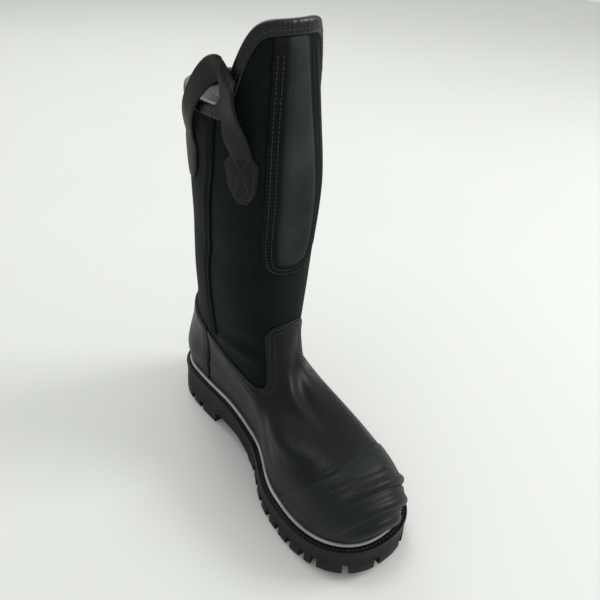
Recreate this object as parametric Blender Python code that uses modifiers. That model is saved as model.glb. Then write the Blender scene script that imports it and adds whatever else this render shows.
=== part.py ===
"""Firefighter pull-on boot, left foot: a lasted upper on a welted lug sole.

The tables are in millimetres.  "a" runs forward from the back of the sole, "x" to the wearer's left
(the outer side of the foot) and "z" up from the floor.  In the scene the toe points along -Y.
"""
import math

import bmesh
import bpy
import numpy as np
from mathutils import Matrix, Vector

MM = 0.001
GAP = 0.3  # clearance between two pieces that meet

# Driving sizes of the last and the sole
LENGTH = 322.0
HEEL_HEIGHT = 42.0
BALL_HEIGHT = 27.0
TOE_SPRING = 11.0
ARCH_FROM, ARCH_TO = 85.0, 185.0
SPRING_FROM = 235.0
TOE_OF_LAST = 310.0
HEEL_OF_LAST = 10.0

# Layers
WALL = 3.0
VAMP_THICK = 1.8
COUNTER_THICK = 2.2
CAP_THICK = 3.6
GUARD_THICK = 2.2
STRIP_THICK = 1.6
BINDING_THICK = 1.5
STRAP_THICK = 2.4
WELT_THICK = 4.0
PIPING_RADIUS = 1.8
INSOLE_THICK = 4.0

# Collar: low at the sides and the back, rising to a shield in front
COLLAR_LOW = 358.0
COLLAR_RISE = 62.0
COLLAR_FROM, COLLAR_TO = 108.0, 149.0
BINDING_WIDTH = 8.5
BINDING_GAP = 0.6  # more than GAP, because the edging bends two ways
BINDING_INSIDE = 10.0

# Sole outline beyond the feather line, by place along the foot
REACH_PLACES = (0.0, 0.25, 0.7, 1.0)
REACH = (8.5, 8.0, 9.5, 10.5)
WELT_INSIDE = 9.0
TREAD_SPRING = 10.0
TREAD_SPRING_FROM = 245.0
ARCH_PRISM = ((88, -6), (90, 13), (96, 16), (130, 14), (152, 6), (160, -6))
NOTCH_WIDTH = 6.0
NOTCH_DEPTH = 14.0
LUG_HEIGHT = 11.0
FOREFOOT_BARS = (170, 187, 204, 221, 238, 255, 272)
HEEL_BARS = (26, 44, 62)
CHEVRON = 7.0
TOE_NOTCHES = (-36, -20, -4, 12, 28)
HEEL_NOTCHES = (-160, 180, 160)

# One row per level of the last: its back point, its front point, and how far the level follows the
# bend of the sole under it (1) or runs straight (0)
PROFILE_COLUMNS = ("back_a", "back_z", "front_a", "front_z", "bend")
PROFILE = (
    (HEEL_OF_LAST, HEEL_HEIGHT, TOE_OF_LAST, BALL_HEIGHT + TOE_SPRING, 1.00),
    (6, 55, 313, 51, 0.95),
    (5, 68, 309, 66, 0.75),
    (6, 80, 292, 79, 0.45),
    (8, 92, 258, 87, 0.20),
    (11, 104, 222, 92, 0.05),
    (14, 116, 192, 99, 0.0),
    (17, 130, 170, 112, 0.0),
    (20, 150, 156, 140, 0.0),
    (24, 185, 152, 185, 0.0),
    (28, 235, 153, 235, 0.0),
    (31, 290, 157, 290, 0.0),
    (32, 345, 154, 345, 0.0),
    (33, 420, 149, 420, 0.0),
)

# The same levels seen from above: lengths of the rounded ends, their power, the sideways place of the
# front, half widths to the inner (in) and outer (out) side, and a sideways shift of the whole level
PLAN_COLUMNS = ("back_len", "front_len", "power", "front_x", "in_rear", "in_mid", "in_front",
                "out_rear", "out_mid", "out_front", "shift")
PLAN = (
    (38, 80, 2.4, -8, 36, 31, 49, 36, 41, 51, 0),
    (38, 78, 2.4, -8, 37, 33, 50, 37, 42, 52, 0),
    (38, 74, 2.4, -8, 37, 34, 47, 37, 41, 49, 0),
    (40, 72, 2.3, -8, 36, 34, 42, 36, 39, 42, 0),
    (42, 75, 2.2, -7, 35, 35, 37, 35, 37, 36, 0),
    (44, 75, 2.1, -6, 35, 36, 34, 35, 37, 32, 0),
    (46, 75, 2.1, -4, 35, 37, 34, 35, 37, 31, 0),
    (50, 70, 2.1, -2, 36, 38, 36, 36, 38, 33, 0),
    (56, 64, 2.2, -1, 38, 40, 39, 38, 41, 38, 1),
    (60, 62, 2.4, 0, 42, 43, 43, 42, 44, 43, 2),
    (62, 62, 2.4, 0, 45, 46, 46, 45, 48, 47, 3),
    (62, 62, 2.4, 0, 47, 48, 48, 47, 50, 49, 3),
    (62, 62, 2.4, 0, 46, 48, 47, 45, 47, 46, 2),
    (60, 60, 2.4, 0, 43, 45, 44, 40, 41, 40, 1),
)
BEAD_ROW = 0.38  # just over the piping, where the overlays end
CAP_ROW = 0.5  # the same for the thicker toe cap
SHAFT_ROW = 9.0
TOP_ROW = 13.0

# Steps of the sole's side: how far out, and the share of the height from the tread to the top
SOLE_SIDE = ((1.0, 0.0), (1.5, 0.05), (0.7, 0.5), (0.2, 0.55), (0.2, 1.0))

# Overlay edges in the side view
COUNTER_EDGE = 71.0
COUNTER_TOP = ((71, 121), (50, 126), (20, 132), (0, 133))
VAMP_EDGE_COLUMNS = ("a", "z")
VAMP_EDGE = ((71, 119), (99, 113), (120, 107.5), (140, 104), (155, 102), (163, 104))
CAP_EDGE_FOOT = 220.0
CAP_EDGE_SLOPE = 0.7

# Overlay edges in the front view
INSTEP_TAB = dict(left=-20.0, right=22.0, bottom=85.0, top=163.0, radius=11.0)
SHIN_GUARD_COLUMNS = ("z", "inner_x", "outer_x")
SHIN_GUARD = ((232, -23, 27), (250, -25, 30), (295, -25, 30), (340, -23, 27), (380, -20, 23), (440, -16, 18))
SHIN_GUARD_BOTTOM = 216.0

# Side seam strip: its middle line in the side view
STRIP_WIDTH = 12.0
OUTER_STRIP_BACK = 17.0  # the outer side's seam runs further back
STRIP_COLUMNS = ("a", "z")
STRIP = ((87, 124), (85, 145), (84, 190), (90, 236), (98, 279), (104, 317), (107, 375))

# Pull loop from the front shield's point to the back one's: angle round the shaft from the front,
# height, lift off the shaft, width (straight from row to row, so the shields have corners), tilt of the
# strap's front edge down from level, turn of that edge out from the shaft, and how far the strap hangs free
# of the shaft (0 to 1); it folds over at the highest row
OUTER_STRAP_TURN = 28.0  # the outer side's loop sits further back
OUTER_STRAP_RISE = 0.86  # stands lower over its sewn ends
OUTER_STRAP_SPREAD = 0.0  # and lies closer to the shaft
SEWN_TOP = 327.0
LIFT_OVER_BINDING = 4.2
STRAP_COLUMNS = ("around", "height", "lift", "width", "tilt", "turn", "free")
STRAP = (
    (47, 288, 0.0, 9, 0, 0, 0.0),
    (47, 300, 0.0, 24, 0, 0, 0.0),
    (47, 319, 0.0, 29.5, 0, 0, 0.0),
    (47, 327, 0.4, 19, 0, 0, 0.0),
    (49, 340, 5.0, 20, -4, 12, 0.3),
    (51, 357, 8.5, 21, -6, 28, 0.9),
    (52, 372, 9.5, 21, -2, 32, 1.0),
    (53, 384, 8.5, 22, 28, 22, 1.0),
    (54, 388, 4.5, 22, 52, 0, 1.0),
    (58, 389, 4.0, 22, 46, 0, 1.0),
    (67, 387, 2.5, 21, 36, 0, 1.0),
    (81, 376, 3.0, 20, 22, 0, 1.0),
    (99, 350, 4.2, 20, 8, 0, 0.4),
    (109, 327, 0.4, 19, 0, 0, 0.0),
    (110, 319, 0.0, 29.5, 0, 0, 0.0),
    (110, 300, 0.0, 24, 0, 0, 0.0),
    (110, 288, 0.0, 9, 0, 0, 0.0),
)

# Mesh density
AROUND = 40
FOOT_ROWS = (0, 0.6, 1.2, 1.8, 2.4, 3.0, 3.6, 4.3, 5.0, 5.8, 6.6, 7.4, 8.2, 9.0)
SHAFT_PARTS = (0.25, 0.5, 0.75, 1.0)
STRAP_STEPS = 3
STRAP_ACROSS = 5
PIPING_SIDES = 6

# Cutters run this far past the boot, and the tab's cutter reaches this far either way of its middle
CUT_LOW, CUT_HIGH = -20.0, 200.0
CUT_PAST = 20.0
FRONT_CUT = 60.0
SHARP_DEGREES = 40.0
EDGE_STEPS = 13

# Small steps for slopes: angle round the boot, share of a row
STEP_THETA, STEP_ROW = 0.02, 0.05

# Base colours (linear), roughness
MATERIALS = {
    "sole_rubber": ((0.012, 0.012, 0.014), 0.65),
    "welt_rubber": ((0.010, 0.010, 0.011), 0.55),
    "piping_grey": ((0.38, 0.38, 0.41), 0.45),
    "black_leather": ((0.012, 0.014, 0.014), 0.42),
    "shaft_fabric": ((0.013, 0.020, 0.019), 0.85),
    "cap_rubber": ((0.018, 0.020, 0.022), 0.45),
    "guard_leather": ((0.030, 0.036, 0.036), 0.60),
    "binding_gloss": ((0.008, 0.008, 0.009), 0.25),
    "strap_leather": ((0.024, 0.020, 0.021), 0.50),
    "insole_felt": ((0.30, 0.30, 0.31), 0.90),
}


def smoother(s):
    """Ease from 0 to 1 with level ends."""
    s = np.clip(s, 0.0, 1.0)
    return s * s * s * (s * (6.0 * s - 15.0) + 10.0)


def spline(table, columns, place):
    """Natural cubic spline through a table's rows; returns each named column at the row number place."""
    rows = np.array(table, float)
    count = len(rows)
    system = 4.0 * np.eye(count - 2) + np.eye(count - 2, k=1) + np.eye(count - 2, k=-1)
    bends = np.zeros_like(rows)
    bends[1:-1] = np.linalg.solve(system, 6.0 * (rows[:-2] - 2.0 * rows[1:-1] + rows[2:]))
    place = np.asarray(place, float)
    low = np.clip(np.floor(place).astype(int), 0, count - 2)
    u = (place - low)[..., None]
    w = 1.0 - u
    value = (w * rows[low] + u * rows[low + 1]
             + ((w ** 3 - w) * bends[low] + (u ** 3 - u) * bends[low + 1]) / 6.0)
    return {name: value[..., k] for k, name in enumerate(columns)}


def sole_top(a):
    """Height of the feather line, where the upper meets the sole."""
    arch = smoother((a - ARCH_FROM) / (ARCH_TO - ARCH_FROM))
    spring = np.clip((a - SPRING_FROM) / (TOE_OF_LAST - SPRING_FROM), 0.0, None)
    return HEEL_HEIGHT + (BALL_HEIGHT - HEEL_HEIGHT) * arch + TOE_SPRING * spring ** 2


def tread(a):
    """Height of the tread's ground face, level but for the toe spring."""
    share = np.clip((a - TREAD_SPRING_FROM) / (LENGTH - TREAD_SPRING_FROM), 0.0, None)
    return TREAD_SPRING * share ** 2


def surface(theta, row):
    """Outer face of the upper: theta goes round from the front over the outer side, row up the levels."""
    theta, row = np.broadcast_arrays(np.asarray(theta, float), np.asarray(row, float))
    side = spline(PROFILE, PROFILE_COLUMNS, row)
    plan = spline(PLAN, PLAN_COLUMNS, row)
    t = 0.5 + 0.5 * np.cos(theta)
    a = side["back_a"] + t * (side["front_a"] - side["back_a"])
    chord = side["back_z"] + t * (side["front_z"] - side["back_z"])
    heel, toe = sole_top(side["back_a"]), sole_top(side["front_a"])
    z = chord + side["bend"] * (sole_top(a) - heel - t * (toe - heel))
    power = plan["power"]
    from_back = np.clip(1.0 - (a - side["back_a"]) / plan["back_len"], 0.0, 1.0)
    from_front = np.clip(1.0 - (side["front_a"] - a) / plan["front_len"], 0.0, 1.0)
    ends = ((1.0 - from_back ** power) * (1.0 - from_front ** power)) ** (1.0 / power)
    to_mid, to_front = smoother((t - 0.12) / 0.33), smoother((t - 0.45) / 0.28)
    half = {}
    for name in ("in", "out"):
        rear, mid, front = (plan[name + place] for place in ("_rear", "_mid", "_front"))
        half[name] = rear + (mid - rear) * to_mid + (front - mid) * to_front
    centre = plan["front_x"] * smoother((t - 0.35) / 0.65) + plan["shift"]
    outward = np.where(np.sin(theta) >= 0.0, half["out"], -half["in"])
    return np.stack([centre + outward * ends, a, z], axis=-1)


def directions(theta, row):
    """Unit vectors round the surface and out of it."""
    around = surface(theta + STEP_THETA, row) - surface(theta - STEP_THETA, row)
    up = surface(theta, row + STEP_ROW) - surface(theta, row - STEP_ROW)
    out = np.cross(up, around)
    unit = around / np.linalg.norm(around, axis=-1, keepdims=True)
    return unit, out / np.linalg.norm(out, axis=-1, keepdims=True)


def raised(theta, row, lift):
    """The upper's face moved outward along its own normal."""
    theta, row = np.broadcast_arrays(np.asarray(theta, float), np.asarray(row, float))
    return surface(theta, row) + directions(theta, row)[1] * np.asarray(lift, float)[..., None]


def row_at_height(z):
    """Row number of a height on the shaft."""
    rows = np.linspace(SHAFT_ROW - 1.0, TOP_ROW, 201)
    return np.interp(z, spline(PROFILE, PROFILE_COLUMNS, rows)["front_z"], rows)


def collar_height(a):
    """Height of the top line."""
    return COLLAR_LOW + COLLAR_RISE * smoother((a - COLLAR_FROM) / (COLLAR_TO - COLLAR_FROM))


def collar_row(theta, drop=0.0):
    """Row number of the top line, or of a line that lies a given height under it."""
    row = np.full_like(theta, 12.0)
    for _ in range(8):
        row = row_at_height(collar_height(surface(theta, row)[..., 1]) - drop)
    return row


def collar_stretch(theta):
    """Vertical length of one millimetre measured square to the sloping top line."""
    step = 3.0 * STEP_THETA
    before, after = (surface(theta + k, collar_row(theta + k)) for k in (-step, step))
    run = np.linalg.norm((after - before)[..., :2], axis=-1)
    return np.hypot(1.0, (after - before)[..., 2] / run)


def angles(count):
    """Evenly spaced angles from the front over the outer side and round."""
    return np.arange(count) * (2.0 * np.pi / count)


def to_scene(points):
    """Millimetres in the boot's own axes to metres in the scene."""
    points = np.asarray(points, float)
    return np.stack([points[..., 0], LENGTH / 2.0 - points[..., 1], points[..., 2]], axis=-1) * MM


def material(name):
    """Principled material by its name in the table."""
    found = bpy.data.materials.get(name)
    if found:
        return found
    colour, roughness = MATERIALS[name]
    made = bpy.data.materials.new(name)
    made.use_nodes = True
    shader = made.node_tree.nodes["Principled BSDF"]
    shader.inputs["Base Color"].default_value = (*colour, 1.0)
    shader.inputs["Roughness"].default_value = roughness
    made.diffuse_color = (*colour, 1.0)
    return made


def collection(name):
    """A new collection in the scene."""
    made = bpy.data.collections.new(name)
    bpy.context.scene.collection.children.link(made)
    return made


def add_part(name, mesh, slot):
    """Put a mesh in the boot's collection under its empty."""
    mesh.shade_smooth()
    mesh.set_sharp_from_angle(angle=math.radians(SHARP_DEGREES))
    mesh.materials.append(material(slot))
    made = bpy.data.objects.new(name, mesh)
    made.parent = ROOT
    PARTS.objects.link(made)
    return made


def loft(name, loops, ring=False, caps=False):
    """Mesh of quads through closed loops of equal count; caps are strips from side to side."""
    loops = np.asarray(loops)
    levels, count = loops.shape[:2]
    bm = bmesh.new()
    verts = [[bm.verts.new(p) for p in to_scene(loop)] for loop in loops]
    for j in range(levels if ring else levels - 1):
        low, high = verts[j], verts[(j + 1) % levels]
        for i in range(count):
            k = (i + 1) % count
            bm.faces.new((low[i], low[k], high[k], high[i]))
    if caps:
        for loop in (verts[0], verts[-1]):
            for i in range(count // 2):
                corners = (loop[i], loop[i + 1], loop[-i - 1], loop[-i])
                bm.faces.new(dict.fromkeys(corners))
    if ring or caps:
        bmesh.ops.recalc_face_normals(bm, faces=bm.faces)
    mesh = bpy.data.meshes.new(name)
    bm.to_mesh(mesh)
    bm.free()
    return mesh


def solidify(target, thickness, side):
    """Wall grown out (1), in (-1) or both ways (0) from an open surface; even where it isn't folded."""
    wall = target.modifiers.new("wall", "SOLIDIFY")
    wall.thickness = thickness * MM
    wall.offset = side
    wall.use_even_offset = side != 0.0


def boolean(target, cutter, operation):
    """Boolean with the exact solver."""
    cut = target.modifiers.new(operation.lower(), "BOOLEAN")
    cut.operation = operation
    cut.solver = "EXACT"
    cut.object = cutter


def prism(name, outline, view, half_depth, middle=0.0):
    """Cutter: a flat outline in the side, front or plan view, drawn out square to that view."""
    curve = bpy.data.curves.new(name, "CURVE")
    curve.dimensions = "2D"
    curve.fill_mode = "BOTH"
    curve.extrude = half_depth * MM
    line = curve.splines.new("POLY")
    line.use_cyclic_u = True
    line.points.add(len(outline) - 1)
    for point, (u, v) in zip(line.points, outline):
        first = LENGTH / 2.0 - u if view == "side" else u
        second = LENGTH / 2.0 - v if view == "plan" else v
        point.co = (first * MM, second * MM, 0.0, 1.0)
    drawn = bpy.data.objects.new(name, curve)
    CUTTERS.objects.link(drawn)
    columns = {"side": ((0, 1, 0), (0, 0, 1), (1, 0, 0)), "front": ((1, 0, 0), (0, 0, 1), (0, -1, 0)),
               "plan": ((1, 0, 0), (0, 1, 0), (0, 0, 1))}[view]
    place = Matrix(columns).transposed().to_4x4()
    place.translation = Vector(columns[2]) * middle * MM
    mesh = bpy.data.meshes.new_from_object(drawn.evaluated_get(bpy.context.evaluated_depsgraph_get()))
    bm = bmesh.new()
    bm.from_mesh(mesh)
    bmesh.ops.remove_doubles(bm, verts=bm.verts, dist=1e-6)
    bmesh.ops.transform(bm, matrix=place, verts=bm.verts)
    bmesh.ops.recalc_face_normals(bm, faces=bm.faces)
    bm.to_mesh(mesh)
    bm.free()
    bpy.data.objects.remove(drawn)
    return add_cutter(name, mesh)


def add_cutter(name, mesh):
    """Put a mesh among the cutters, out of sight."""
    made = bpy.data.objects.new(name, mesh)
    made.hide_render = True
    made.display_type = "WIRE"
    made.parent = ROOT
    CUTTERS.objects.link(made)
    return made


def joined(name, cutters):
    """Several cutters that stay apart, as one object."""
    bm = bmesh.new()
    for cutter in cutters:
        bm.from_mesh(cutter.data)
        bpy.data.objects.remove(cutter)
    mesh = bpy.data.meshes.new(name)
    bm.to_mesh(mesh)
    bm.free()
    return add_cutter(name, mesh)


def arc(centre, radius, start, stop, steps=6):
    """Points of an arc, angles in degrees."""
    turn = np.radians(np.linspace(start, stop, steps + 1))
    return [(centre[0] + radius * math.cos(t), centre[1] + radius * math.sin(t)) for t in turn]


def sampled(table, columns, steps):
    """A table's two columns as a smooth line of points."""
    line = spline(table, columns, np.linspace(0, len(table) - 1, steps))
    return list(zip(line[columns[0]], line[columns[1]]))


def band(line, width):
    """Outline of a band of even width along a line."""
    line = np.array(line, float)
    along = np.gradient(line, axis=0)
    across = np.stack([-along[:, 1], along[:, 0]], axis=-1)
    across *= width / 2.0 / np.linalg.norm(across, axis=-1, keepdims=True)
    return [*(line + across), *(line - across)[::-1]]


def overlay(name, rows, lift, thickness, slot):
    """Closed layer over the upper between two of its levels, to be cut to its outline."""
    theta = angles(AROUND)
    loops = [raised(theta, row, np.full(AROUND, lift)) for row in rows]
    layer = add_part(name, loft(name, loops), slot)
    solidify(layer, thickness, 1.0)
    return layer


def over_bead(lowest, highest):
    """Rows of the foot from one just over the piping up to a highest one."""
    return [lowest] + [row for row in FOOT_ROWS if lowest < row < highest]


def outline(theta, beyond):
    """Feather line moved outward in plan."""
    point = surface(theta, 0.0)
    run = surface(theta + STEP_THETA, 0.0) - surface(theta - STEP_THETA, 0.0)
    out = np.stack([run[..., 1], -run[..., 0]], axis=-1)
    out /= -np.linalg.norm(out, axis=-1, keepdims=True)
    return point[..., :2] + out * np.asarray(beyond, float)[..., None]


def level_loop(theta, beyond, height):
    """Loop at a distance beyond the feather line, at a height above it."""
    plan = outline(theta, np.broadcast_to(beyond, theta.shape))
    return np.concatenate([plan, (sole_top(plan[:, 1]) + height)[:, None]], axis=-1)


def bead_middle(theta):
    """Distance of the piping's middle beyond the feather line, clear of the upper's flare."""
    step = outline(theta, np.ones_like(theta)) - outline(theta, np.zeros_like(theta))
    flare = [((surface(theta, row) - surface(theta, 0.0))[:, :2] * step).sum(axis=-1)
             for row in np.linspace(0.0, BEAD_ROW, 4)]
    return np.clip(np.max(flare, axis=0), 0.0, None) + GAP + PIPING_RADIUS


def reach(theta):
    """How far the sole stands out beyond the feather line."""
    return np.interp(0.5 + 0.5 * np.cos(theta), REACH_PLACES, REACH)


def build_upper():
    """Foot and shaft as one hollow shell, open at the collar and under the foot."""
    theta = angles(AROUND)
    top = collar_row(theta)
    rows = [np.full(AROUND, row) for row in FOOT_ROWS]
    rows += [SHAFT_ROW + (top - SHAFT_ROW) * part for part in SHAFT_PARTS]
    shell = add_part("upper", loft("upper", [surface(theta, row) for row in rows]), "shaft_fabric")
    solidify(shell, WALL, -1.0)


def groove(name, points, width, ground):
    """Cutter for one groove of the tread, from below up to the lug height."""
    return prism(name, band(points, width), "plan", LUG_HEIGHT, ground)


def chevron(name, a):
    """Groove across the tread at one place, bent forward in the middle."""
    theta = np.linspace(0.0, np.pi, 721)
    ends = []
    for side in (1.0, -1.0):
        edge = outline(side * theta, reach(theta) + NOTCH_WIDTH)
        ends.append(edge[np.abs(edge[:, 1] - a).argmin()])
    middle = (ends[0] + ends[1]) / 2.0 + (0.0, CHEVRON)
    return groove(name, [ends[0], middle, ends[1]], NOTCH_WIDTH, tread(a))


def edge_notch(name, degrees):
    """Short groove in the rim of the tread at an angle round the sole."""
    theta = np.radians(np.array([degrees, degrees], float))
    line = outline(theta, reach(theta) + (NOTCH_WIDTH, -NOTCH_DEPTH))
    return groove(name, [line[0], line.mean(axis=0), line[1]], NOTCH_WIDTH, tread(line[0][1]))


def build_outsole():
    """Unit sole: tread, stepped side, and a raised bed inside the welt."""
    theta = angles(AROUND)
    side = np.array(SOLE_SIDE, float)
    loops = []
    for out, share in side:
        loop = level_loop(theta, reach(theta) + out, -WELT_THICK - 2.0 * GAP)
        ground = tread(loop[:, 1])
        loop[:, 2] = ground + share * (loop[:, 2] - ground)
        loops.append(loop)
    bed = -WELT_INSIDE - GAP
    loops += [level_loop(theta, bed, -WELT_THICK - 2.0 * GAP), level_loop(theta, bed, -2.0 * GAP)]
    sole = add_part("outsole", loft("outsole", loops, caps=True), "sole_rubber")
    boolean(sole, prism("arch_cut", ARCH_PRISM, "side", LENGTH), "DIFFERENCE")
    bars = [chevron("bar_%d" % a, a) for a in FOREFOOT_BARS + HEEL_BARS]
    boolean(sole, joined("bar_cuts", bars), "DIFFERENCE")
    notches = [edge_notch("notch_%d" % t, t) for t in TOE_NOTCHES + HEEL_NOTCHES]
    boolean(sole, joined("notch_cuts", notches), "DIFFERENCE")


def build_welt():
    """Flat strip under the upper's edge, standing out to the sole's edge."""
    theta = angles(AROUND)
    outer = reach(theta)
    corners = ((-WELT_INSIDE, -WELT_THICK), (outer, -WELT_THICK), (outer + 0.8, -0.6 * WELT_THICK),
               (outer, -GAP), (-WELT_INSIDE, -GAP))
    loops = [level_loop(theta, out, height) for out, height in corners]
    add_part("welt", loft("welt", loops, ring=True), "welt_rubber")


def build_piping():
    """Round bead lying on the welt against the upper, under the overlays' lower edges."""
    theta = angles(AROUND)
    middle = bead_middle(theta)
    turns = angles(PIPING_SIDES) + np.pi / PIPING_SIDES
    loops = [level_loop(theta, middle + PIPING_RADIUS * math.cos(t), PIPING_RADIUS * (1.0 + math.sin(t)))
             for t in turns]
    add_part("piping", loft("piping", loops, ring=True), "piping_grey")


def build_insole():
    """Flat bed inside the upper."""
    theta = angles(AROUND)
    inset = -WALL - 3.0 * GAP
    loops = [level_loop(theta, inset, height) for height in (GAP, GAP + INSOLE_THICK)]
    add_part("insole", loft("insole", loops, caps=True), "insole_felt")


def cap_edge(z, forward=0.0):
    """Back edge of the toe cap in the side view."""
    return CAP_EDGE_FOOT + CAP_EDGE_SLOPE * (z - BALL_HEIGHT) + forward


def build_vamp():
    """Leather round the forefoot, with a rounded tab up the instep, short of the toe cap."""
    vamp = overlay("vamp", over_bead(BEAD_ROW, TOP_ROW), GAP, VAMP_THICK, "black_leather")
    low, high = CUT_LOW, CUT_HIGH
    edge = sampled(VAMP_EDGE, VAMP_EDGE_COLUMNS, EDGE_STEPS)
    side = [(edge[0][0] + GAP, edge[0][1]), *edge[1:], (edge[-1][0] + GAP, high),
            (cap_edge(high, -2.0 * GAP), high), (cap_edge(low, -2.0 * GAP), low), (edge[0][0] + GAP, low)]
    keep = prism("vamp_side", side, "side", LENGTH)
    tab = INSTEP_TAB
    radius = tab["radius"]
    front = [(tab["left"], tab["bottom"]), (tab["right"], tab["bottom"]),
             *arc((tab["right"] - radius, tab["top"] - radius), radius, 0, 90),
             *arc((tab["left"] + radius, tab["top"] - radius), radius, 90, 180)]
    boolean(keep, prism("vamp_tab", front, "front", FRONT_CUT), "UNION")
    boolean(vamp, keep, "INTERSECT")


def build_toe_cap():
    """Thick rubber bumper over the toe, standing on the piping."""
    cap = overlay("toe_cap", over_bead(CAP_ROW, 6.0), GAP, CAP_THICK, "cap_rubber")
    low, high = CUT_LOW, CUT_HIGH
    far = cap_edge(high) + CUT_PAST
    side = [(cap_edge(low), low), (far, low), (far, high), (cap_edge(high), high)]
    boolean(cap, prism("cap_side", side, "side", LENGTH), "INTERSECT")


def build_heel_counter():
    """Leather round the heel, lapping the vamp's back edge."""
    counter = overlay("heel_counter", over_bead(BEAD_ROW, 8.5), GAP, COUNTER_THICK, "black_leather")
    behind = COUNTER_TOP[-1][0] - CUT_PAST
    side = [*COUNTER_TOP, (behind, COUNTER_TOP[-1][1]), (behind, CUT_LOW), (COUNTER_EDGE, CUT_LOW)]
    boolean(counter, prism("counter_side", side, "side", LENGTH), "INTERSECT")


def shaft_layer(name, lift, thickness, slot, first_row):
    """Layer over the shaft that stops just under the collar binding."""
    theta = angles(AROUND)
    top = collar_row(theta, BINDING_WIDTH * collar_stretch(theta) + 2.0 * GAP)
    rows = [np.full(AROUND, row) for row in FOOT_ROWS if row >= first_row]
    rows += [SHAFT_ROW + (top - SHAFT_ROW) * part for part in SHAFT_PARTS]
    loops = [raised(theta, row, np.full(AROUND, lift)) for row in rows]
    layer = add_part(name, loft(name, loops), slot)
    solidify(layer, thickness, 1.0)
    return layer


def build_shin_guard():
    """Panel down the front of the shaft with a rounded lower end."""
    guard = shaft_layer("shin_guard", 2.0 * GAP, GUARD_THICK, "guard_leather", SHAFT_ROW)
    sides = spline(SHIN_GUARD, SHIN_GUARD_COLUMNS, np.linspace(0, len(SHIN_GUARD) - 1, EDGE_STEPS))
    inner = list(zip(sides["inner_x"], sides["z"]))
    outer = list(zip(sides["outer_x"], sides["z"]))
    turn = np.radians(np.linspace(195, 345, 7))
    middle = (inner[0][0] + outer[0][0]) / 2.0
    half = (outer[0][0] - inner[0][0]) / 2.0
    deep = inner[0][1] - SHIN_GUARD_BOTTOM
    bottom = [(middle + half * math.cos(t), inner[0][1] + deep * math.sin(t)) for t in turn]
    front = [*inner[::-1], *bottom, *outer]
    boolean(guard, prism("guard_front", front, "front", FRONT_CUT), "INTERSECT")


def build_side_strips():
    """Narrow band over each side seam of the shaft."""
    line = np.array(sampled(STRIP, STRIP_COLUMNS, EDGE_STEPS))
    for name, side, back in (("medial", -1.0, 0.0), ("lateral", 1.0, OUTER_STRIP_BACK)):
        shape = band(line - (back, 0.0), STRIP_WIDTH)
        strip = shaft_layer("side_strip_" + name, 2.0 * GAP, STRIP_THICK, "black_leather", 6.6)
        half_depth = LENGTH / 4.0
        boolean(strip, prism("strip_" + name, shape, "side", half_depth, side * half_depth), "INTERSECT")


def build_collar_binding():
    """Edging folded over the top line, outside and inside."""
    theta = angles(AROUND)
    stretch = collar_stretch(theta)
    near, far = BINDING_GAP, BINDING_GAP + BINDING_THICK
    corners = ((far, BINDING_WIDTH), (far, -far), (-WALL - far, -far), (-WALL - far, BINDING_INSIDE),
               (-WALL - near, BINDING_INSIDE), (-WALL - near, -near), (near, -near), (near, BINDING_WIDTH))
    top = surface(theta, collar_row(theta))
    out = directions(theta, collar_row(theta))[1]
    loops = []
    for lift, drop in corners:
        if drop > 0.0:
            loops.append(raised(theta, collar_row(theta, drop * stretch), np.full(AROUND, lift)))
        else:
            loop = top + out * lift
            loop[:, 2] -= drop * stretch
            loops.append(loop)
    add_part("collar_binding", loft("collar_binding", loops, ring=True), "binding_gloss")


def strap_points(side, turn, rise, spread):
    """Grid of a pull loop's middle face: along the strap, then across it."""
    count = (len(STRAP) - 1) * STRAP_STEPS + 1
    places = np.linspace(0, len(STRAP) - 1, count)
    strap = spline(STRAP, STRAP_COLUMNS, places)
    widths = np.interp(places, np.arange(len(STRAP)), [row[STRAP_COLUMNS.index("width")] for row in STRAP])
    theta = side * np.radians(strap["around"] + turn)
    above = np.clip(strap["height"] - SEWN_TOP, 0.0, None)
    row = row_at_height(strap["height"] - (1.0 - rise) * above)
    beyond = np.clip(strap["lift"] - LIFT_OVER_BINDING, 0.0, None)
    lift = GAP + STRAP_THICK / 2.0 + np.clip(strap["lift"] - (1.0 - spread) * beyond, 0.0, None)
    around, out = directions(theta, row)
    tilt = np.radians(strap["tilt"])[:, None]
    turned = np.radians(spread * strap["turn"])[:, None]
    across = (out * np.sin(turned) - side * around * np.cos(turned)) * np.cos(tilt)
    across -= np.array((0.0, 0.0, 1.0)) * np.sin(tilt)
    middle = raised(theta, row, lift)
    run = surface(theta + STEP_THETA, row) - surface(theta - STEP_THETA, row)
    per_radian = np.linalg.norm(run, axis=-1) / (2.0 * STEP_THETA)
    free = np.clip(strap["free"], 0.0, 1.0)[:, None]
    grid = []
    for share in np.linspace(-0.5, 0.5, STRAP_ACROSS):
        aside = share * widths
        sewn = raised(theta - side * aside / per_radian, row, lift)
        grid.append(sewn * (1.0 - free) + (middle + across * aside[:, None]) * free)
    return np.stack(grid, axis=1)


def build_pull_loops():
    """Flat strap from a sewn shield in front, folded over above the collar, to one behind, each side."""
    outer = (OUTER_STRAP_TURN, OUTER_STRAP_RISE, OUTER_STRAP_SPREAD)
    for name, side, hang in (("pull_loop_medial", -1.0, (0.0, 1.0, 1.0)), ("pull_loop_lateral", 1.0, outer)):
        grid = to_scene(strap_points(side, *hang))
        bm = bmesh.new()
        verts = [[bm.verts.new(point) for point in line] for line in grid]
        for low, high in zip(verts[:-1], verts[1:]):
            for i in range(STRAP_ACROSS - 1):
                bm.faces.new((low[i], low[i + 1], high[i + 1], high[i]))
        mesh = bpy.data.meshes.new(name)
        bm.to_mesh(mesh)
        bm.free()
        solidify(add_part(name, mesh, "strap_leather"), STRAP_THICK, 0.0)


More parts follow.
